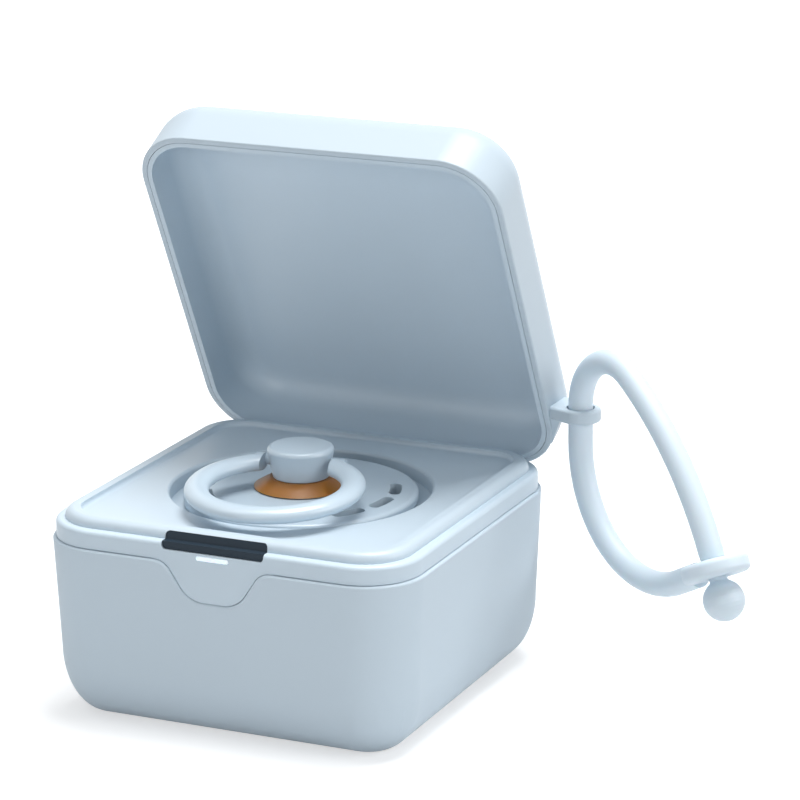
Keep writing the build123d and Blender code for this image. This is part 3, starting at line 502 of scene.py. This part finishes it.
def close_group(group, geometry, result, material=None):
    """Ends a tree in Realize Instances and, for a single material, Set Material."""
    real = tree_node(group, "GeometryNodeRealizeInstances", Geometry=geometry).outputs[0]
    if material is not None:
        real = tree_node(group, "GeometryNodeSetMaterial", Geometry=real, Material=material).outputs[0]
    group.links.new(real, result.inputs["Geometry"])


def combine(tree, x=0.0, y=0.0, z=0.0):
    return tree_node(tree, "ShaderNodeCombineXYZ", X=x, Y=y, Z=z).outputs[0]


def moved(tree, geometry, place=(0.0, 0.0, 0.0), turn=(0.0, 0.0, 0.0)):
    """Geometry moved and turned by sockets or plain vectors."""
    return tree_node(
        tree, "GeometryNodeTransform", Geometry=geometry, Translation=place, Rotation=turn
    ).outputs[0]


def joined(tree, *geometries):
    node = tree.nodes.new("GeometryNodeJoinGeometry")
    for geometry in geometries:
        tree.links.new(geometry, node.inputs[0])
    return node.outputs[0]


def grown(name, data, group, values):
    """Runs a tree on a mesh or curve and gives the plain mesh that it makes."""
    holder = bpy.data.objects.new(f"{name}_seed", data)
    scene.collection.objects.link(holder)
    modifier = holder.modifiers.new(name, "NODES")
    modifier.node_group = group
    sockets = {
        item.name: item.identifier for item in group.interface.items_tree
        if item.item_type == "SOCKET" and item.in_out == "INPUT"
    }
    for socket, value in values.items():
        modifier[sockets[socket]] = value
    graph = bpy.context.evaluated_depsgraph_get()
    mesh = bpy.data.meshes.new_from_object(holder.evaluated_get(graph), depsgraph=graph)
    mesh.name = name
    bpy.data.objects.remove(holder)
    return mesh


def point_mesh(name, places):
    """A mesh of loose points, for a tree to set pieces on."""
    mesh = bpy.data.meshes.new(name)
    mesh.from_pydata([Vector(place) for place in places], [], [])
    return mesh


def build_strap_tree():
    """A round strap swept along a curve, thick and thin as the curve's radius says, with an eyelet."""
    group, given, result = geometry_group(
        "swept_strap",
        {"Tube Radius": LOOP_TUBE * MM, "Sides": 40, "Eyelet Radius": EYELET_RADIUS * MM,
         "Hole Radius": EYELET_HOLE * MM, "Eyelet Thickness": EYELET_THICKNESS * MM,
         "Edge Round": EYELET_ROUND * MM},
    )
    group_socket(group, "Eyelet Place", "NodeSocketVector")
    group_socket(group, "Eyelet Turn", "NodeSocketVector")
    section = tree_node(
        group, "GeometryNodeCurvePrimitiveCircle", Resolution=given["Sides"], Radius=given["Tube Radius"]
    )
    strap = tree_node(
        group, "GeometryNodeCurveToMesh", Curve=given["Geometry"], Profile_Curve=section.outputs["Curve"],
        Scale=tree_node(group, "GeometryNodeInputRadius").outputs[0], Fill_Caps=True,
    )
    rim = shader_math(group, "SUBTRACT", given["Eyelet Radius"], given["Hole Radius"])
    middle = shader_math(group, "ADD", given["Eyelet Radius"], given["Hole Radius"])
    middle = shader_math(group, "MULTIPLY", middle, 0.5)
    ring = tree_node(group, "GeometryNodeCurvePrimitiveCircle", Resolution=96, Radius=middle)
    edge = tree_node(
        group, "GeometryNodeCurvePrimitiveQuadrilateral", Width=rim, Height=given["Eyelet Thickness"]
    )
    edge = tree_node(
        group, "GeometryNodeFilletCurve", {"mode": "POLY"}, Curve=edge.outputs[0], Count=8,
        Radius=given["Edge Round"], Limit_Radius=True,
    )
    eyelet = tree_node(
        group, "GeometryNodeCurveToMesh", Curve=ring.outputs["Curve"], Profile_Curve=edge.outputs[0]
    )
    eyelet = moved(group, eyelet.outputs[0], given["Eyelet Place"], given["Eyelet Turn"])
    smooth = tree_node(group, "GeometryNodeSetShadeSmooth", Geometry=joined(group, strap.outputs[0], eyelet))
    close_group(group, smooth.outputs[0], result, given["Material"])
    return group


def build_screw_tree():
    """Cross-recess screws, point up, one on each point: pan head, shank and a wound thread."""
    group, given, result = geometry_group(
        "cross_screws",
        {"Head Radius": SCREW_HEAD_RADIUS * MM, "Head Height": SCREW_HEAD_HEIGHT * MM,
         "Shank Radius": 0.78 * MM, "Length": 9.0 * MM, "Thread Radius": 0.21 * MM,
         "Pitch": 0.75 * MM, "Recess": 0.5 * MM},
    )
    length = given["Length"]
    half = shader_math(group, "MULTIPLY", length, 0.5)
    shank = tree_node(
        group, "GeometryNodeMeshCylinder", Vertices=28, Radius=given["Shank Radius"], Depth=length
    ).outputs[0]
    shank = moved(group, shank, combine(group, z=half))
    run = shader_math(group, "MULTIPLY", length, 0.93)
    turns = shader_math(group, "DIVIDE", run, given["Pitch"])
    helix = tree_node(
        group, "GeometryNodeCurveSpiral", Resolution=26, Rotations=turns,
        Start_Radius=given["Shank Radius"], End_Radius=given["Shank Radius"], Height=run,
    )
    ridge = tree_node(
        group, "GeometryNodeCurvePrimitiveCircle", Resolution=4, Radius=given["Thread Radius"]
    )
    thread = tree_node(
        group, "GeometryNodeCurveToMesh", Curve=helix.outputs[0], Profile_Curve=ridge.outputs["Curve"],
        Fill_Caps=True,
    )
    rim_share = 0.55
    head = tree_node(
        group, "GeometryNodeMeshCone", Vertices=48, Side_Segments=1, Fill_Segments=1,
        Radius_Bottom=shader_math(group, "MULTIPLY", given["Head Radius"], 0.78),
        Radius_Top=given["Head Radius"],
        Depth=shader_math(group, "MULTIPLY", given["Head Height"], 1 - rim_share),
    ).outputs[0]
    foot = shader_math(group, "MULTIPLY", given["Head Height"], -1.0)
    head = moved(group, head, combine(group, z=foot))
    rim_depth = shader_math(group, "MULTIPLY", given["Head Height"], rim_share)
    rim_middle = shader_math(group, "MULTIPLY", given["Head Height"], -rim_share / 2)
    rim = tree_node(
        group, "GeometryNodeMeshCylinder", Vertices=48, Radius=given["Head Radius"], Depth=rim_depth
    ).outputs[0]
    rim = moved(group, rim, combine(group, z=rim_middle))
    bar_length = shader_math(group, "MULTIPLY", given["Head Radius"], 1.1)
    bar = combine(group, bar_length, given["Recess"], given["Head Height"])
    slot = tree_node(group, "GeometryNodeMeshCube", Size=bar).outputs[0]
    slot = moved(group, slot, combine(group, z=foot))
    crossing = moved(group, slot, turn=(0.0, 0.0, math.pi / 2))
    whole_head = tree_node(
        group, "GeometryNodeMeshBoolean", {"operation": "UNION", "solver": "EXACT"}
    )
    group.links.new(head, whole_head.inputs["Mesh 2"])
    group.links.new(rim, whole_head.inputs["Mesh 2"])
    cut = tree_node(group, "GeometryNodeMeshBoolean", {"operation": "DIFFERENCE", "solver": "EXACT"})
    group.links.new(whole_head.outputs[0], cut.inputs["Mesh 1"])
    group.links.new(slot, cut.inputs["Mesh 2"])
    group.links.new(crossing, cut.inputs["Mesh 2"])
    screw = joined(group, shank, thread.outputs[0], cut.outputs[0])
    spread = tree_node(group, "GeometryNodeInstanceOnPoints", Points=given["Geometry"], Instance=screw)
    close_group(group, spread.outputs[0], result, given["Material"])
    return group


def build_board_parts_tree():
    """Small surface parts scattered on a board's face, square to it, with a fixed seed."""
    group, given, result = geometry_group(
        "board_parts",
        {"Least Gap": 2.3 * MM, "Density": 90000.0, "Seed": 7, "Part Length": 1.6 * MM,
         "Part Width": 0.8 * MM, "Part Height": 0.6 * MM},
    )
    spots = tree_node(
        group, "GeometryNodeDistributePointsOnFaces", {"distribute_method": "POISSON"},
        Mesh=given["Geometry"], Distance_Min=given["Least Gap"], Density_Max=given["Density"],
        Seed=given["Seed"],
    )
    body = tree_node(
        group, "GeometryNodeMeshCube",
        Size=combine(group, given["Part Length"], given["Part Width"], given["Part Height"]),
    ).outputs[0]
    body = moved(group, body, combine(group, z=shader_math(group, "MULTIPLY", given["Part Height"], 0.5)))
    quarter = tree_node(group, "FunctionNodeRandomValue", {"data_type": "INT"})
    quarter.inputs[4].default_value = 0
    quarter.inputs[5].default_value = 1
    group.links.new(given["Seed"], quarter.inputs["Seed"])
    angle = shader_math(group, "MULTIPLY", quarter.outputs[2], math.pi / 2)
    turn = tree_node(
        group, "FunctionNodeRotateRotation", {"rotation_space": "LOCAL"}, Rotation=spots.outputs["Rotation"]
    )
    spin = tree_node(group, "FunctionNodeEulerToRotation", Euler=combine(group, z=angle))
    group.links.new(spin.outputs[0], turn.inputs["Rotate By"])
    spread = tree_node(
        group, "GeometryNodeInstanceOnPoints", Points=spots.outputs["Points"], Instance=body,
        Rotation=turn.outputs[0],
    )
    close_group(group, spread.outputs[0], result, given["Material"])
    return group


def build_lens_tree():
    """A ring of lamp lenses: a plated land under a clear dome at each place."""
    group, given, result = geometry_group(
        "lamp_lenses",
        {"Count": EMITTER_COUNT, "Ring Radius": EMITTER_RING * MM, "Dome Radius": 1.15 * MM,
         "Dome Height": 0.5 * MM, "Land Size": 2.5 * MM, "Land Height": 0.08 * MM},
        ("Dome Material", "Land Material"),
    )
    ring = tree_node(
        group, "GeometryNodeMeshCircle", Vertices=given["Count"], Radius=given["Ring Radius"]
    ).outputs[0]
    ring = moved(group, ring, turn=(0.0, 0.0, math.pi / 2))
    ball = tree_node(group, "GeometryNodeMeshUVSphere", Segments=32, Rings=16, Radius=given["Dome Radius"])
    squash = shader_math(group, "DIVIDE", given["Dome Height"], given["Dome Radius"])
    dome = tree_node(
        group, "GeometryNodeTransform", Geometry=ball.outputs[0], Scale=combine(group, 1.0, 1.0, squash)
    ).outputs[0]
    dome = tree_node(group, "GeometryNodeSetShadeSmooth", Geometry=dome).outputs[0]
    dome = tree_node(
        group, "GeometryNodeSetMaterial", Geometry=dome, Material=given["Dome Material"]
    ).outputs[0]
    land = tree_node(
        group, "GeometryNodeMeshCube",
        Size=combine(group, given["Land Size"], given["Land Size"], given["Land Height"]),
    ).outputs[0]
    land = tree_node(
        group, "GeometryNodeSetMaterial", Geometry=land, Material=given["Land Material"]
    ).outputs[0]
    part_turn = shader_math(group, "DIVIDE", 2 * math.pi, given["Count"])
    index = tree_node(group, "GeometryNodeInputIndex").outputs[0]
    turn = combine(group, z=shader_math(group, "MULTIPLY", index, part_turn))
    spread = tree_node(
        group, "GeometryNodeInstanceOnPoints", Points=ring, Instance=joined(group, dome, land), Rotation=turn
    ).outputs[0]
    place = tree_node(group, "GeometryNodeInstanceOnPoints", Points=given["Geometry"], Instance=spread)
    close_group(group, place.outputs[0], result)
    return group


def build_contact_tree():
    """Rows of plated contacts on both faces of a socket's tongue."""
    group, given, result = geometry_group(
        "socket_contacts",
        {"Count": 12, "Spacing": 0.5 * MM, "Contact Width": 0.26 * MM, "Contact Length": 4.2 * MM,
         "Contact Height": 0.06 * MM, "Tongue Thickness": 0.7 * MM},
    )
    gaps = shader_math(group, "SUBTRACT", given["Count"], 1.0)
    reach = shader_math(group, "MULTIPLY", gaps, given["Spacing"])
    start = combine(group, shader_math(group, "MULTIPLY", reach, -0.5))
    row = tree_node(
        group, "GeometryNodeMeshLine", {"mode": "OFFSET"}, Count=given["Count"], Start_Location=start,
        Offset=combine(group, given["Spacing"]),
    ).outputs[0]
    blade = tree_node(
        group, "GeometryNodeMeshCube",
        Size=combine(group, given["Contact Width"], given["Contact Length"], given["Contact Height"]),
    ).outputs[0]
    half = shader_math(group, "MULTIPLY", given["Tongue Thickness"], 0.5)
    blade = moved(group, blade, combine(group, z=half))
    above = tree_node(group, "GeometryNodeInstanceOnPoints", Points=row, Instance=blade).outputs[0]
    below = moved(group, above, turn=(0.0, math.pi, 0.0))
    place = tree_node(
        group, "GeometryNodeInstanceOnPoints", Points=given["Geometry"], Instance=joined(group, above, below)
    )
    close_group(group, place.outputs[0], result, given["Material"])
    return group


# ---------------------------------------------------------------- cameras and studio


def build_camera():
    """The photograph's view: a long lens, above the front and a little to the right."""
    right = Vector((0.91063, 0.41312, -0.00918))
    up = Vector((-0.10653, 0.25618, 0.96074))
    back = Vector((0.39925, -0.87390, 0.27730))
    turn = Matrix((right, up, back)).transposed().to_4x4()
    place = Vector((0.312187, -0.634839, 0.263497))
    lens = bpy.data.cameras.new("photo_camera")
    lens.lens = 164.65
    lens.sensor_width = 36.0
    lens.clip_start = 0.05
    lens.clip_end = 20.0
    camera = bpy.data.objects.new("photo_camera", lens)
    scene.collection.objects.link(camera)
    camera.matrix_world = Matrix.Translation(place) @ turn
    scene.camera = camera


def seen_straight(tree):
    """One where a surface is seen by the camera, in a reflection or through glass, else nought."""
    ray = tree.nodes.new("ShaderNodeLightPath").outputs
    straight = shader_math(tree, "MAXIMUM", ray["Is Camera Ray"], ray["Is Transmission Ray"])
    return shader_math(tree, "MAXIMUM", straight, ray["Is Glossy Ray"])


def build_floor():
    """A pale floor that takes the soft shadow and fades to the white background further out."""
    mesh = bpy.data.meshes.new("studio_floor")
    reach = FLOOR_REACH
    corners = [(-reach, -reach, 0), (reach, -reach, 0), (reach, reach, 0), (-reach, reach, 0)]
    mesh.from_pydata(corners, [], [(0, 1, 2, 3)])
    floor = bpy.data.objects.new("studio_floor", mesh)
    floor.location.z = -FLOOR_DROP
    scene.collection.objects.link(floor)
    material = bpy.data.materials.new("studio_floor")
    material.use_nodes = True
    tree = material.node_tree
    tree.nodes.clear()
    output = tree.nodes.new("ShaderNodeOutputMaterial")
    diffuse = tree.nodes.new("ShaderNodeBsdfDiffuse")
    diffuse.inputs["Color"].default_value = (0.62, 0.63, 0.64, 1)
    glow = tree.nodes.new("ShaderNodeEmission")
    glow.inputs["Color"].default_value = (1, 1, 1, 1)
    place = tree.nodes.new("ShaderNodeTexCoord")
    away = tree.nodes.new("ShaderNodeVectorMath")
    away.operation = "LENGTH"
    tree.links.new(place.outputs["Object"], away.inputs[0])
    fade = tree.nodes.new("ShaderNodeMapRange")
    fade.inputs["From Min"].default_value = FLOOR_SHADOW_REACH
    fade.inputs["From Max"].default_value = 3 * FLOOR_SHADOW_REACH
    fade.inputs["To Min"].default_value = 0.55
    fade.inputs["To Max"].default_value = 1.0
    tree.links.new(away.outputs["Value"], fade.inputs["Value"])
    level = shader_math(tree, "MULTIPLY", seen_straight(tree), fade.outputs["Result"])
    tree.links.new(level, glow.inputs["Strength"])
    add = tree.nodes.new("ShaderNodeAddShader")
    tree.links.new(diffuse.outputs[0], add.inputs[0])
    tree.links.new(glow.outputs[0], add.inputs[1])
    tree.links.new(add.outputs[0], output.inputs["Surface"])
    mesh.materials.append(material)


def build_world():
    """White to the camera, and an even soft light on the case."""
    world = bpy.data.worlds.new("studio_world")
    scene.world = world
    world.use_nodes = True
    tree = world.node_tree
    tree.nodes.clear()
    output = tree.nodes.new("ShaderNodeOutputWorld")
    soft = tree.nodes.new("ShaderNodeBackground")
    soft.inputs["Color"].default_value = (0.97, 0.985, 1.0, 1)
    soft.inputs["Strength"].default_value = 0.16
    white = tree.nodes.new("ShaderNodeBackground")
    white.inputs["Color"].default_value = (1, 1, 1, 1)
    white.inputs["Strength"].default_value = 1.0
    mix = tree.nodes.new("ShaderNodeMixShader")
    tree.links.new(seen_straight(tree), mix.inputs["Fac"])
    tree.links.new(soft.outputs[0], mix.inputs[1])
    tree.links.new(white.outputs[0], mix.inputs[2])
    tree.links.new(mix.outputs[0], output.inputs["Surface"])


def softbox(name, place, aim, side, power):
    """A square softbox at a place, turned to its aim."""
    lamp = bpy.data.lights.new(name, "AREA")
    lamp.shape = "SQUARE"
    lamp.size = side
    lamp.energy = power
    holder = bpy.data.objects.new(name, lamp)
    scene.collection.objects.link(holder)
    holder.location = place
    holder.rotation_mode = "QUATERNION"
    holder.rotation_quaternion = (Vector(aim) - Vector(place)).to_track_quat("-Z", "Y")


# ---------------------------------------------------------------- pieces


def finish_nodes():
    """The pieces that show at some pose, as smooth copies in the place of their nodes."""
    bodies = {node: body for body, nodes in frame["record"]["behaviour"]["bodies"].items() for node in nodes}
    slots = {part["node"]: part["material_slot"] for part in frame["record"]["subparts"]}
    shown = [
        "outer_sleeve", "base_shell", "tray_deck", "chamber_cup", "lid_shell", "lid_liner",
        "pacifier_shield", "pacifier_knob", "pacifier_ring", "pacifier_nipple", "keeper_plate",
        "light_pipe", "usb_socket", "hinge_pin",
    ]
    for node in shown:
        piece = place_piece(f"{node}_finished", smooth_copy(node), bodies[node], slots[node], node)
        weight_normals(piece)


def loop_axes():
    """The loop's own frame at rest: the middle of the lug's hole, outward, and up along the hole."""
    swivel = next(
        joint for joint in frame["record"]["behaviour"]["joints"] if joint["name"] == "loop_swivel"
    )
    up = Vector(swivel["axis"]).normalized()
    swing = math.radians(LOOP_SWING)
    right = Vector((1.0, 0.0, 0.0))
    return Vector(swivel["pos_m"]), right * math.cos(swing) + up.cross(right) * math.sin(swing), up


def walk_loop():
    """The strap's centre line as knots of place, direction, handles and radius, in the loop's frame.

    It starts at the eyelet, comes back under the lug, rises through the hole, bends over, runs down
    through the eyelet and ends in the ball. All in millimetres, on the loop's own plane.
    """
    top_fall = math.radians(LOOP_TOP_FALL)
    front_fall = math.radians(LOOP_FRONT_FALL)
    top_out = Vector((math.sin(top_fall), math.cos(top_fall)))
    front_out = Vector((math.sin(front_fall), math.cos(front_fall)))
    run = Vector((math.cos(front_fall), -math.sin(front_fall)))
    front_centre = Vector((LOOP_TOP_RADIUS, LOOP_RISE)) + top_out * (LOOP_TOP_RADIUS - LOOP_FRONT_RADIUS)
    front_end = front_centre + front_out * LOOP_FRONT_RADIUS
    eyelet = front_end + run * (SHOULDER_GAP + EYELET_THICKNESS / 2)
    start = eyelet - front_out * EYELET_JOIN
    first = (start.x - LOOP_BACK_RADIUS * (1 + math.cos(front_fall))) / math.sin(front_fall)
    back_end = start - front_out * first
    rise = LOOP_RISE - (back_end.y + LOOP_BACK_RADIUS * math.sin(front_fall))
    knots = [[start, -front_out, 0.0, 0.0, 1.0]]

    def go(length, radius=1.0):
        place, way = knots[-1][0], knots[-1][1]
        knots[-1][3] = length / 3
        knots.append([place + way * length, way, length / 3, 0.0, radius])

    def bend(radius, turn, pieces):
        """Turns clockwise by an angle in radians, in equal pieces."""
        part = turn / pieces
        handle = radius * math.tan(part / 4) * 4 / 3
        for _ in range(pieces):
            place, way = knots[-1][0], knots[-1][1]
            centre = place + Vector((way.y, -way.x)) * radius
            spoke = place - centre
            spoke = Vector((
                spoke.x * math.cos(part) + spoke.y * math.sin(part),
                spoke.y * math.cos(part) - spoke.x * math.sin(part),
            ))
            turned = Vector((
                way.x * math.cos(part) + way.y * math.sin(part),
                way.y * math.cos(part) - way.x * math.sin(part),
            ))
            knots[-1][3] = handle
            knots.append([centre + spoke, turned, handle, 0.0, 1.0])

    go(first)
    bend(LOOP_BACK_RADIUS, math.pi - front_fall, 4)
    go(rise)
    bend(LOOP_TOP_RADIUS, math.pi / 2 + top_fall, 4)
    bend(LOOP_FRONT_RADIUS, (front_fall - top_fall) * (1 - LAST_BEND_SHARE), 2)
    bend(LOOP_FRONT_RADIUS, (front_fall - top_fall) * LAST_BEND_SHARE, 1)

    # Rounded shoulder, down to the neck. Radii here are shares of the strap's own.
    neck = NECK_RADIUS / LOOP_TUBE
    full = 1.0 - SHOULDER_STEP * (1.0 - neck)
    knots[-1][4] = full
    for step in range(1, SHOULDER_PARTS + 1):
        turn = step / SHOULDER_PARTS * math.pi / 2
        fall = SHOULDER_ROUND / SHOULDER_PARTS * math.cos(turn) + SHOULDER_LEAST
        go(fall, neck + (full - neck) * math.cos(turn))

    # Neck through the eyelet, widening a little where the ball starts, and the ball
    ball_start = math.asin(NECK_RADIUS / BALL_RADIUS)
    ball_way = BALL_RADIUS * math.cos(ball_start)
    middle = eyelet + run * BALL_REACH
    go((middle - knots[-1][0]).length - ball_way - NECK_FLARE_LENGTH, neck)
    go(NECK_FLARE_LENGTH, neck * NECK_FLARE)
    reached = -ball_way
    for step in range(1, BALL_PARTS + 1):
        angle = ball_start + (math.pi - ball_start) * step / BALL_PARTS
        ahead = -BALL_RADIUS * math.cos(angle)
        go(ahead - reached, max(BALL_RADIUS * math.sin(angle) / LOOP_TUBE, BALL_TIP))
        reached = ahead
    return knots, eyelet, run


def make_carry_strap():
    """The soft carry strap, swept along its line, with its eyelet, neck and ball."""
    hole, outward, up = loop_axes()
    knots, eyelet, run = walk_loop()

    def placed(point):
        return hole + (outward * point.x + up * point.y) * MM

    line = bpy.data.curves.new("carry_strap_line", "CURVE")
    line.dimensions = "3D"
    line.resolution_u = 10
    spline = line.splines.new("BEZIER")
    spline.bezier_points.add(len(knots) - 1)
    for knot, (place, way, before, after, radius) in zip(spline.bezier_points, knots):
        knot.handle_left_type = knot.handle_right_type = "FREE"
        knot.co = placed(place)
        knot.handle_left = placed(place - way * before)
        knot.handle_right = placed(place + way * after)
        knot.radius = radius
    run_way = (outward * run.x + up * run.y).normalized()
    mesh = grown("carry_strap", line, build_strap_tree(), {
        "Eyelet Place": placed(eyelet),
        "Eyelet Turn": Vector(run_way.to_track_quat("Z", "Y").to_euler()),
        "Material": loop_silicone,
    })
    mesh.set_sharp_from_angle(angle=math.radians(50))
    place_piece("carry_strap", mesh, "loop", "loop_rubber", "carry_loop")


def make_screws():
    """The four cross-recess screws that hold the tray, on the CAD screws' own lines."""
    low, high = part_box("deck_screws")
    inset = SCREW_HEAD_RADIUS * MM
    seat = low[2] + SCREW_HEAD_HEIGHT * MM
    spots = [
        (x, y, seat)
        for x in (low[0] + inset, high[0] - inset) for y in (low[1] + inset, high[1] - inset)
    ]
    mesh = grown("tray_screws", point_mesh("screw_spots", spots), build_screw_tree(), {
        "Length": high[2] - seat, "Material": plain_steel,
    })
    mesh.shade_smooth()
    mesh.set_sharp_from_angle(angle=math.radians(35))
    place_piece("tray_screws", mesh, "case", "steel", "deck_screws")


def make_lenses():
    """Clear domes on plated lands over the lamps under the window."""
    lamp_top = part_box("uv_emitters")[1][2]
    low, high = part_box("uv_board")
    middle = ((low[0] + high[0]) / 2, (low[1] + high[1]) / 2, lamp_top)
    mesh = grown("lamp_lenses", point_mesh("lamp_middle", [middle]), build_lens_tree(), {
        "Dome Material": lens_epoxy, "Land Material": gold_plate,
    })
    place_piece("lamp_lenses", mesh, "case", "diode")


def make_board_parts():
    """Small resistors and capacitors on the main board's inner face, each kind on its own stretch."""
    low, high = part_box("main_board")
    bottom, top = low[2] + 6.0 * MM, high[2] - 2.0 * MM
    tree = build_board_parts_tree()

    def strew(name, left, right, size, seed, material, slot):
        """Strews parts of a size, length by width by height, between two x places. Millimetres."""
        left, right = left * MM, right * MM
        length, width, height = (side * MM for side in size)
        corners = [
            (left, low[1], bottom), (right, low[1], bottom), (right, low[1], top), (left, low[1], top),
        ]
        face = bpy.data.meshes.new(f"{name}_face")
        face.from_pydata(corners, [], [(0, 1, 2, 3)])
        mesh = grown(name, face, tree, {
            "Part Length": length, "Part Width": width, "Part Height": height, "Seed": seed,
            "Material": material,
        })
        place_piece(name, mesh, "case", slot)

    strew("board_resistors", -3.0, 8.0, (1.6, 0.8, 0.5), 7, chip_moulding, "chip")
    strew("board_capacitors", 9.5, 18.0, (1.0, 0.9, 0.8), 12, diode_ceramic, "diode")


def make_contacts():
    """Plated contacts on the charging socket's tongue."""
    low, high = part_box("usb_socket")
    spot = (0.0, high[1] - TONGUE_MIDDLE_DEPTH * MM, (low[2] + high[2]) / 2)
    mesh = grown("socket_contacts", point_mesh("tongue_middle", [spot]), build_contact_tree(), {
        "Material": gold_plate,
    })
    place_piece("socket_contacts", mesh, "case", "connector")


finish_nodes()
make_carry_strap()
make_screws()
make_lenses()
make_board_parts()
make_contacts()
build_camera()
build_floor()
build_world()
softbox("key_softbox", (0.12, 0.22, 1.20), CASE_FRONT, side=0.60, power=15.2)
softbox("left_softbox", (-0.45, -0.20, 1.10), CASE_FRONT, side=0.60, power=2.0)
softbox("side_softbox", (1.20, 0.10, 0.60), CASE_MIDDLE, side=0.70, power=6.0)
softbox("front_softbox", (0.0, -1.25, 0.30), CASE_MIDDLE, side=0.70, power=4.0)

scene.view_settings.view_transform = "Standard"
